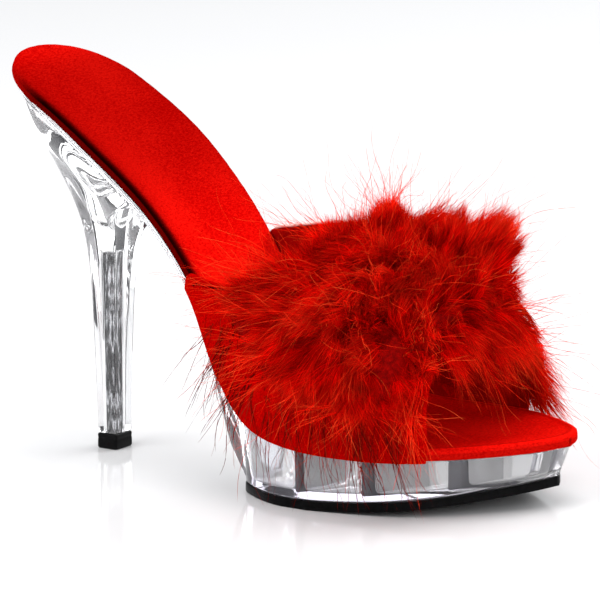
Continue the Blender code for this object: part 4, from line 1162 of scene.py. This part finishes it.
# neighbouring plumes lean together
n_tuft = 210
tuft = RNG.choice(n_pl, n_tuft, replace=False)
own = ((pl_p[:, None, :] - pl_p[tuft][None]) ** 2).sum(-1).argmin(1)
drift_v = 0.02 + 0.17 * (pl_v - 0.30) + 0.075 * RNG.normal(size=n_tuft)[own] + 0.025 * RNG.normal(size=n_pl)
drift_u = ((pl_u - 0.5) * 0.24 * np.where(pl_u < 0.5, 1.0, 1.0) + 0.035 * RNG.normal(size=n_tuft)[own]
           + 0.015 * RNG.normal(size=n_pl))
near_front = smooth((0.36 - pl_u) / 0.10)
drift_v = np.where(pl_v + drift_v > 0.955, drift_v * (1 - near_front) + (0.955 - pl_v) * near_front, drift_v)
reach = (0.90 + 0.20 * RNG.random(n_tuft))[own] * (0.78 + 0.40 * RNG.random(n_pl))
reach = np.where(RNG.random(n_pl) < 0.28, reach * 0.66, reach)
tip = pile_point(pl_v + drift_v, np.clip(pl_u + drift_u, 0.075, 0.945), reach)
middle = np.stack([np.bincount(own, tip[:, k], n_tuft) / np.maximum(1, np.bincount(own, minlength=n_tuft))
                   for k in range(3)], -1)
clump = (0.10 + 0.45 * RNG.random(n_tuft) ** 1.3)[own]
tip += (middle[own] - tip) * clump[:, None] + 1.3 * random_units(n_pl)
back_tv = band_frame(pl_v[first_extra:], pl_u[first_extra:])[0]
tip[first_extra:] = (pl_p + pl_n * 2.0)[first_extra:] + (pl_n[first_extra:] * (2.5 + 4.5 * RNG.random((150, 1)))
                     - back_tv * (1.0 + 5.0 * RNG.random((150, 1))) + np.array([0.0, 0.0, 1.5]))
# plumes at the front edge hang forward over the toe opening
front = smooth((pl_v - 0.84) / 0.10)
tip += (front * (1 - near_front))[:, None] * np.stack([2.0 + 6.0 * RNG.random(n_pl), 0.0 * pl_v, -4.0 - 15.0 * RNG.random(n_pl) * smooth((pl_u - 0.25) / 0.2)], -1)
base = pl_p + pl_n * (UPPER_T / 2 + 0.4)
knee = base + pl_n * (1.5 + 0.50 * fur_height(pl_v, pl_u) * reach)[:, None] + 1.5 * random_units(n_pl)
wide = 2.6 + 3.2 * RNG.random(n_pl)
tone_pl = RNG.random(n_pl)

# standing tufts: share along, share round, height, drift along, drift round, gather, plumes
TUFTS = [(0.76, 0.57, 1.30, 0.10, 0.03, 0.32, 6), (0.70, 0.53, 1.18, 0.05, 0.00, 0.30, 5),
         (0.60, 0.53, 1.14, 0.00, 0.00, 0.30, 4), (0.52, 0.51, 1.12, -0.02, -0.01, 0.30, 4),
         (0.44, 0.50, 1.10, -0.05, -0.02, 0.30, 4), (0.33, 0.48, 1.14, -0.07, -0.02, 0.30, 4),
         (0.84, 0.62, 1.18, 0.12, 0.04, 0.30, 6), (0.92, 0.68, 1.25, 0.15, 0.03, 0.50, 5),
         (0.94, 0.74, 1.30, 0.17, 0.02, 0.50, 5), (0.95, 0.80, 1.35, 0.17, 0.02, 0.50, 5),
         (0.96, 0.86, 1.40, 0.15, 0.03, 0.45, 5), (0.86, 0.54, 1.15, 0.12, 0.00, 0.45, 5),
         (0.55, 0.36, 1.14, 0.02, -0.04, 0.45, 4), (0.66, 0.63, 1.26, 0.05, 0.05, 0.50, 5),
         (0.38, 0.60, 1.20, -0.03, 0.03, 0.50, 4), (0.78, 0.42, 1.12, 0.06, -0.03, 0.45, 4)]
gather_pl = np.zeros(n_pl)
rows_b, rows_k, rows_t, rows_w, rows_c = [], [], [], [], []
for tv_, tu_, high_, dv_, du_, gather, count in TUFTS:
    vv = np.clip(tv_ + 0.03 * RNG.normal(size=count), 0.07, 0.985)
    uu = np.clip(tu_ + 0.02 * RNG.normal(size=count), 0.13, 0.93)
    bp = band(vv, uu)
    bn = band_frame(vv, uu)[2] * NORMAL_SIGN
    ends = pile_point(vv + dv_, uu + du_, np.full(count, high_) * (0.88 + 0.2 * RNG.random(count)))
    ends += (ends.mean(0) - ends) * gather
    rows_b.append(bp + bn * 1.4)
    rows_k.append(bp + bn * (1.5 + 0.6 * fur_height(vv, uu) * high_)[:, None] + random_units(count))
    rows_t.append(ends)
    rows_w.append(1.6 + 1.4 * RNG.random(count))
    rows_c.append(0.3 + 0.7 * RNG.random(count))
base, knee, tip = (np.concatenate([a] + b) for a, b in ((base, rows_b), (knee, rows_k), (tip, rows_t)))
wide, tone_pl = np.concatenate([wide] + rows_w), np.concatenate([tone_pl] + rows_c)
gather_pl = np.concatenate([gather_pl, np.ones(len(base) - n_pl)])
n_pl = len(base)
length = np.linalg.norm(tip - base, axis=1)
heading = unit(tip - knee)


def plume_at(i, t):
    """Points on the shafts of plumes i at shares t of their length."""
    t = t[..., None]
    inside = np.minimum(t, 1.0)
    p = base[i] * (1 - inside) ** 2 + 2 * knee[i] * inside * (1 - inside) + tip[i] * inside ** 2
    return p + heading[i] * (t - inside) * length[i][..., None]


BARB_TOTAL = 148000
per = (length + 3.0) ** 1.15 * (0.7 + 0.6 * RNG.random(n_pl))
per = np.maximum(18, (per / per.sum() * BARB_TOTAL)).astype(int)
own_pl = np.repeat(np.arange(n_pl), per)
m = len(own_pl)
t0 = 0.50 * RNG.random(m) ** 0.9
t1 = np.minimum(t0 + 0.36 + 0.42 * RNG.random(m), 1.0 + 0.16 * RNG.random(m))
gap_t = t1 - t0
shaft_t = unit(plume_at(own_pl, t0 + 0.05) - plume_at(own_pl, t0))
lateral = random_units(m)
lateral -= shaft_t * (lateral * shaft_t).sum(-1, keepdims=True)
lateral = unit(lateral)
spread = wide[own_pl] * (0.15 + 0.95 * RNG.random(m)) * np.where(gather_pl[own_pl] > 0, np.clip(1.2 - t1, 0.1, 1), 1.0)
wisp = random_units(m) * (0.3 + 0.10 * length[own_pl] * RNG.random(m) ** 1.5)[:, None]
p0 = plume_at(own_pl, t0)
p1 = plume_at(own_pl, t0 + gap_t * 0.33) + lateral * (spread * 0.42)[:, None] + wisp * 0.10
p2 = plume_at(own_pl, t0 + gap_t * 0.67) + lateral * (spread * 0.80)[:, None] + wisp * 0.42
p3 = plume_at(own_pl, t1) + lateral * spread[:, None] + wisp
curves = np.stack([p0, p1, p2, p3], 1)
w0 = 0.085 + 0.065 * RNG.random(m) + 0.13 * (RNG.random(m) < 0.16)
widths = np.stack([w0, w0, w0 * 0.7], 1)
warm = np.clip(0.25 * tone_pl[own_pl] ** 4 + 0.5 * RNG.random(m) ** 9 + 0.18 * (t1 > 1.02), 0, 1)
bright = (0.84 + 0.18 * RNG.random(n_pl))[own_pl] * (0.34 + 0.80 * RNG.random(m))
depth_t = np.stack([t0, t0 + gap_t * 0.33, t0 + gap_t * 0.67, t1], 1)
tints = np.clip(blend_colour(depth_t, np.repeat(warm[:, None], 4, 1)) * bright[:, None, None], 0, 1)
barb_side = random_units(m)
CHUNK = 30000
order = np.argsort(base[own_pl, 0], kind="stable")
for k, start in enumerate(range(0, m, CHUNK)):
    sel = order[start:start + CHUNK]
    strands("marabou_plumes_%d" % (k + 1), curves[sel], widths[sel], tints[sel], barb_side[sel])


# ---------------------------------------------------------------- marabou: long single strands
down = np.array([0.0, 0.0, -1.0])


def long_strands(name, start, heading_l, length_l, sag_l, width, colour, curl=0.06, pieces=4, end=None):
    """Hairs of several blades each, laid end to end."""
    n = len(start)
    end = colour * 0.9 if end is None else end
    curves_l, widths_l, tints_l, side_l = [], [], [], []
    bend = random_units(n)
    face = random_units(n)
    phase = 6.28 * RNG.random(n)

    def at(t):
        t = np.full((n, 1), t) if np.ndim(t) == 0 else t
        wave = np.sin(phase[:, None] + 7.0 * t) - np.sin(phase[:, None])
        return start + length_l[:, None] * (heading_l * t + sag_l * t ** 2 + bend * curl * wave * t)

    for k in range(pieces):
        a, b = k / pieces, (k + 1) / pieces
        ts = [a, a + (b - a) / 3, a + 2 * (b - a) / 3, b + (0.0 if k == pieces - 1 else 0.12 / pieces)]
        c = np.stack([at(t) for t in ts], 1)
        taper = lambda t: width * (1 - 0.72 * t)
        curves_l.append(c)
        widths_l.append(np.stack([taper(t) if np.ndim(width) else np.full(n, taper(t)) for t in ts[:3]], 1))
        tints_l.append(np.stack([colour + (end - colour) * min(1.0, t) ** 1.5 for t in ts], 1))
        side_l.append(face)
    return (np.concatenate(curves_l), np.concatenate(widths_l), np.clip(np.concatenate(tints_l), 0, 1),
            np.concatenate(side_l))


def bundle(parts):
    return [np.concatenate([p[k] for p in parts]) for k in range(4)]


parts_l = []
# orange end colour of the loose hairs: painted light through their thin ends
ORANGE_END_GLOW = np.array([0.86, 0.13, 0.032])
# strays that stand out of the pile all over, in loose sprays that fan from one place
n_sp = 420
sp = RNG.choice(n_pl, n_sp, replace=True)
sp_n = RNG.integers(3, 10, n_sp)
own_sp = np.repeat(np.arange(n_sp), sp_n)
n_st = len(own_sp)
sp_dir = unit(0.75 * unit(tip[sp] - base[sp]) + 0.45 * random_units(n_sp)
              + np.stack([0.35 * (base[sp][:, 0] - 140.0) / 30.0, 0 * sp_n, 0.15 + 0 * sp_n], -1) * 0.6)
start = base[sp][own_sp] + (tip[sp] - base[sp])[own_sp] * (0.35 + 0.45 * RNG.random(n_st))[:, None]
h_st = unit(sp_dir[own_sp] + 0.22 * random_units(n_st))
l_st = (9.0 + 21.0 * RNG.random(n_st) ** 1.4) * (0.75 + 0.5 * RNG.random(n_sp))[own_sp]
c_st = MID_RED + 0.0 * own_sp[:, None]
e_st = MID_RED + (ORANGE_END_GLOW - MID_RED) * np.clip(0.15 + 1.0 * RNG.random(n_st), 0, 1)[:, None]
parts_l.append(long_strands("s", start, h_st, l_st, 0.20 * down[None] * RNG.random(n_st)[:, None]
                            + 0.16 * random_units(n_st), 0.15 + 0.11 * RNG.random(n_st), c_st, end=e_st))
n_fly = 60
fly = RNG.choice(n_pl, n_fly, replace=True)
c_fly = MID_RED * 0.8 + 0.0 * fly[:, None]
parts_l.append(long_strands("f", tip[fly] - 2.0 * heading[fly], unit(heading[fly] + 0.5 * random_units(n_fly)),
                            18.0 + 16.0 * RNG.random(n_fly), 0.30 * random_units(n_fly), 0.11 + 0.05 * RNG.random(n_fly),
                            c_fly, curl=0.12, pieces=6, end=ORANGE_END_GLOW + 0.0 * fly[:, None]))
# thin hair lying down over the satin below the thick pile
n_lo = 1300
lo_u = np.where(RNG.random(n_lo) < 0.65, 0.045 + 0.14 * RNG.random(n_lo), 0.955 - 0.12 * RNG.random(n_lo))
lo_v = 0.03 + 0.88 * RNG.random(n_lo)
lo_p = band(lo_v, lo_u)
_, _, lo_n = band_frame(lo_v, lo_u)
lo_n = lo_n * NORMAL_SIGN
lo_d = unit(np.stack([(lo_v - 0.40) * 1.3 + 0.5 * RNG.normal(size=n_lo), np.zeros(n_lo), np.full(n_lo, -1.0)], -1)
            + lo_n * (0.20 + 0.45 * RNG.random(n_lo))[:, None])
lo_l = 6.0 + 12.0 * RNG.random(n_lo)
lo_c = MID_RED * (0.55 + 0.5 * RNG.random(n_lo))[:, None] + np.array([0.0, 0.02, 0.004]) * RNG.random(n_lo)[:, None] ** 3
parts_l.append(long_strands("l", lo_p + lo_n * (UPPER_T / 2 + 0.25), lo_d, lo_l, -0.20 * lo_n + 0.16 * random_units(n_lo),
                            0.09 + 0.06 * RNG.random(n_lo), lo_c))
# hairs that hang below the band's lower edges, over the clear platform
for u0, u1, n_h in ((0.02, 0.09, 230), (0.91, 0.98, 150)):
    hv = 0.14 + 0.80 * RNG.random(n_h)
    hu = u0 + (u1 - u0) * RNG.random(n_h)
    hp = band(hv, hu)
    _, _, hn = band_frame(hv, hu)
    hn = hn * NORMAL_SIGN
    slant = np.stack([(hv - 0.45) * 1.1 + 0.35 * RNG.normal(size=n_h), np.zeros(n_h), np.full(n_h, -1.0)], -1)
    hd = unit(slant + hn * (0.22 + 0.25 * RNG.random(n_h))[:, None])
    hl = 13.0 + 17.0 * RNG.random(n_h)
    hl = np.minimum(hl, (hp[:, 2] - 1.0) / np.maximum(0.3, -hd[:, 2]) * 0.96)
    hc = np.clip(np.array([0.12, 0.003, 0.002]) + np.array([0.34, 0.02, 0.008]) * RNG.random(n_h)[:, None] ** 2, 0, 1)
    parts_l.append(long_strands("h", hp + hn * (UPPER_T / 2 + 0.3), hd, hl, -0.14 * hn + 0.10 * random_units(n_h),
                                0.26 + 0.16 * RNG.random(n_h), hc))
# hairs over the toe opening
n_t = 260
tvv = 0.90 + 0.08 * RNG.random(n_t)
tuu = 0.36 + 0.52 * RNG.random(n_t)
tp = band(tvv, tuu)
_, _, tnn = band_frame(tvv, tuu)
tnn = tnn * NORMAL_SIGN
td = unit(np.stack([0.75 + 0.25 * RNG.random(n_t), 0.30 * RNG.normal(size=n_t), -0.55 - 0.55 * RNG.random(n_t)], -1)
          + 0.35 * tnn)
tl = 9.0 + 15.0 * RNG.random(n_t)
tc = np.clip(MID_RED * 0.7 + (TIP_RED - MID_RED * 0.7) * RNG.random(n_t)[:, None], 0, 1)
parts_l.append(long_strands("t", tp + tnn * (UPPER_T / 2 + 0.4), td, tl, 0.30 * down[None] + 0.10 * random_units(n_t),
                            0.14 + 0.08 * RNG.random(n_t), tc, end=tc * 0.6 + ORANGE_END_GLOW * 0.4))
strands("marabou_hairs", *bundle(parts_l))

# ---------------------------------------------------------------- floor, lamps, camera
SH = SHIFT * MM


def plane(name, size, location, rotation, mat):
    mesh = bpy.data.meshes.new(name)
    w, hgt = size[0] / 2, size[1] / 2
    mesh.from_pydata([(-w, -hgt, 0), (w, -hgt, 0), (w, hgt, 0), (-w, hgt, 0)], [], [(0, 1, 2, 3)])
    mesh.materials.append(mat)
    ob = bpy.data.objects.new(name, mesh)
    ob.location, ob.rotation_euler = location, rotation
    bpy.context.scene.collection.objects.link(ob)
    ob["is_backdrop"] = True
    return ob


floor_mat = Mat("floor_white", Base_Color=(0.94, 0.94, 0.945, 1.0), Roughness=0.10, Specular_IOR_Level=0.50)
plane("floor", (24.0, 24.0), (0, 0, 0), (0, 0, 0), floor_mat.m)

# dark cards beside the set, which show only through the clear plastic
card = Mat("card_dark", Base_Color=(0.03, 0.03, 0.035, 1.0), Roughness=0.9)


def dark_card(name, azimuth, distance, size, height):
    a = math.radians(azimuth)
    ob = plane(name, size, (distance * math.sin(a), -distance * math.cos(a), height),
               (math.radians(90), 0, a), card.m)
    ob.visible_camera = ob.visible_diffuse = ob.visible_shadow = ob.visible_glossy = False
    return ob


for k, azimuth in enumerate((98, 120, 155, 245, 290, 335, 65)):
    dark_card("card_%d" % k, azimuth, 0.27, (0.085, 0.42), 0.20)
for k, azimuth in enumerate((189, 241)):
    dark_card("far_card_%d" % k, azimuth, 0.46, (0.15, 0.50), 0.27)

# white cards all round, which only show through the clear plastic
glow = Mat("card_white", Base_Color=(1.0, 1.0, 1.0, 1.0), Emission_Color=(1.0, 1.0, 1.0, 1.0), Emission_Strength=1.05,
           Roughness=1.0, Specular_IOR_Level=0.0)
for k, azimuth in enumerate((215, 35, 125, 305)):
    a = math.radians(azimuth)
    white = plane("white_card_%d" % k, (1.15, 0.80), (0.62 * math.sin(a), -0.62 * math.cos(a), 0.41),
                  (math.radians(90), 0, a), glow.m)
    white.visible_camera = white.visible_diffuse = white.visible_shadow = white.visible_glossy = False

world = bpy.data.worlds.new("studio")
bpy.context.scene.world = world
world.use_nodes = True
world.node_tree.nodes["Background"].inputs["Color"].default_value = (0.97, 0.98, 1.0, 1.0)
world.node_tree.nodes["Background"].inputs["Strength"].default_value = 0.62


def soft_light(name, at, aim, size, watts, colour=(1, 1, 1)):
    lamp = bpy.data.lights.new(name, "AREA")
    lamp.shape, lamp.size, lamp.size_y, lamp.energy, lamp.color = "RECTANGLE", size[0], size[1], watts, colour
    ob = bpy.data.objects.new(name, lamp)
    ob.location = at
    ob.rotation_euler = (Vector(aim) - Vector(at)).to_track_quat("-Z", "Y").to_euler()
    bpy.context.scene.collection.objects.link(ob)
    return ob


soft_light("key", (-0.55, -1.25, 1.45), (0, 0, 0.05), (1.1, 1.1), 17.0)
soft_light("back", (0.55, 1.35, 0.95), (0, 0, 0.07), (1.3, 0.7), 13.0)
soft_light("top", (0.15, 0.1, 1.7), (0, 0, 0.05), (0.9, 0.9), 12.0)
soft_light("right", (1.5, -0.7, 0.8), (0, 0, 0.05), (0.7, 0.9), 6.0)

cam_data = bpy.data.cameras.new("camera")
cam_data.lens, cam_data.sensor_width = 349.05, 36.0
cam_data.clip_start, cam_data.clip_end = 0.05, 60.0
cam = bpy.data.objects.new("camera", cam_data)
right = Vector((0.81980029, 0.57263472, -0.00411747))
up = Vector((-0.1157613, 0.17276039, 0.9781376))
back = Vector((0.56082689, -0.80140085, 0.20791796))
place = (np.array([1144.6334, -1484.7102, 443.0249]) + SHIFT) * MM
rot = Matrix((right, up, back)).transposed().to_4x4()
cam.matrix_world = Matrix.Translation(Vector(place)) @ rot
bpy.context.scene.collection.objects.link(cam)
bpy.context.scene.camera = cam

scene = bpy.context.scene
scene.view_settings.view_transform = "Standard"
scene.cycles.max_bounces = 20
scene.cycles.transmission_bounces = 18
scene.cycles.glossy_bounces = 10
scene.cycles.diffuse_bounces = 5
scene.cycles.transparent_max_bounces = 24

low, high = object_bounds()
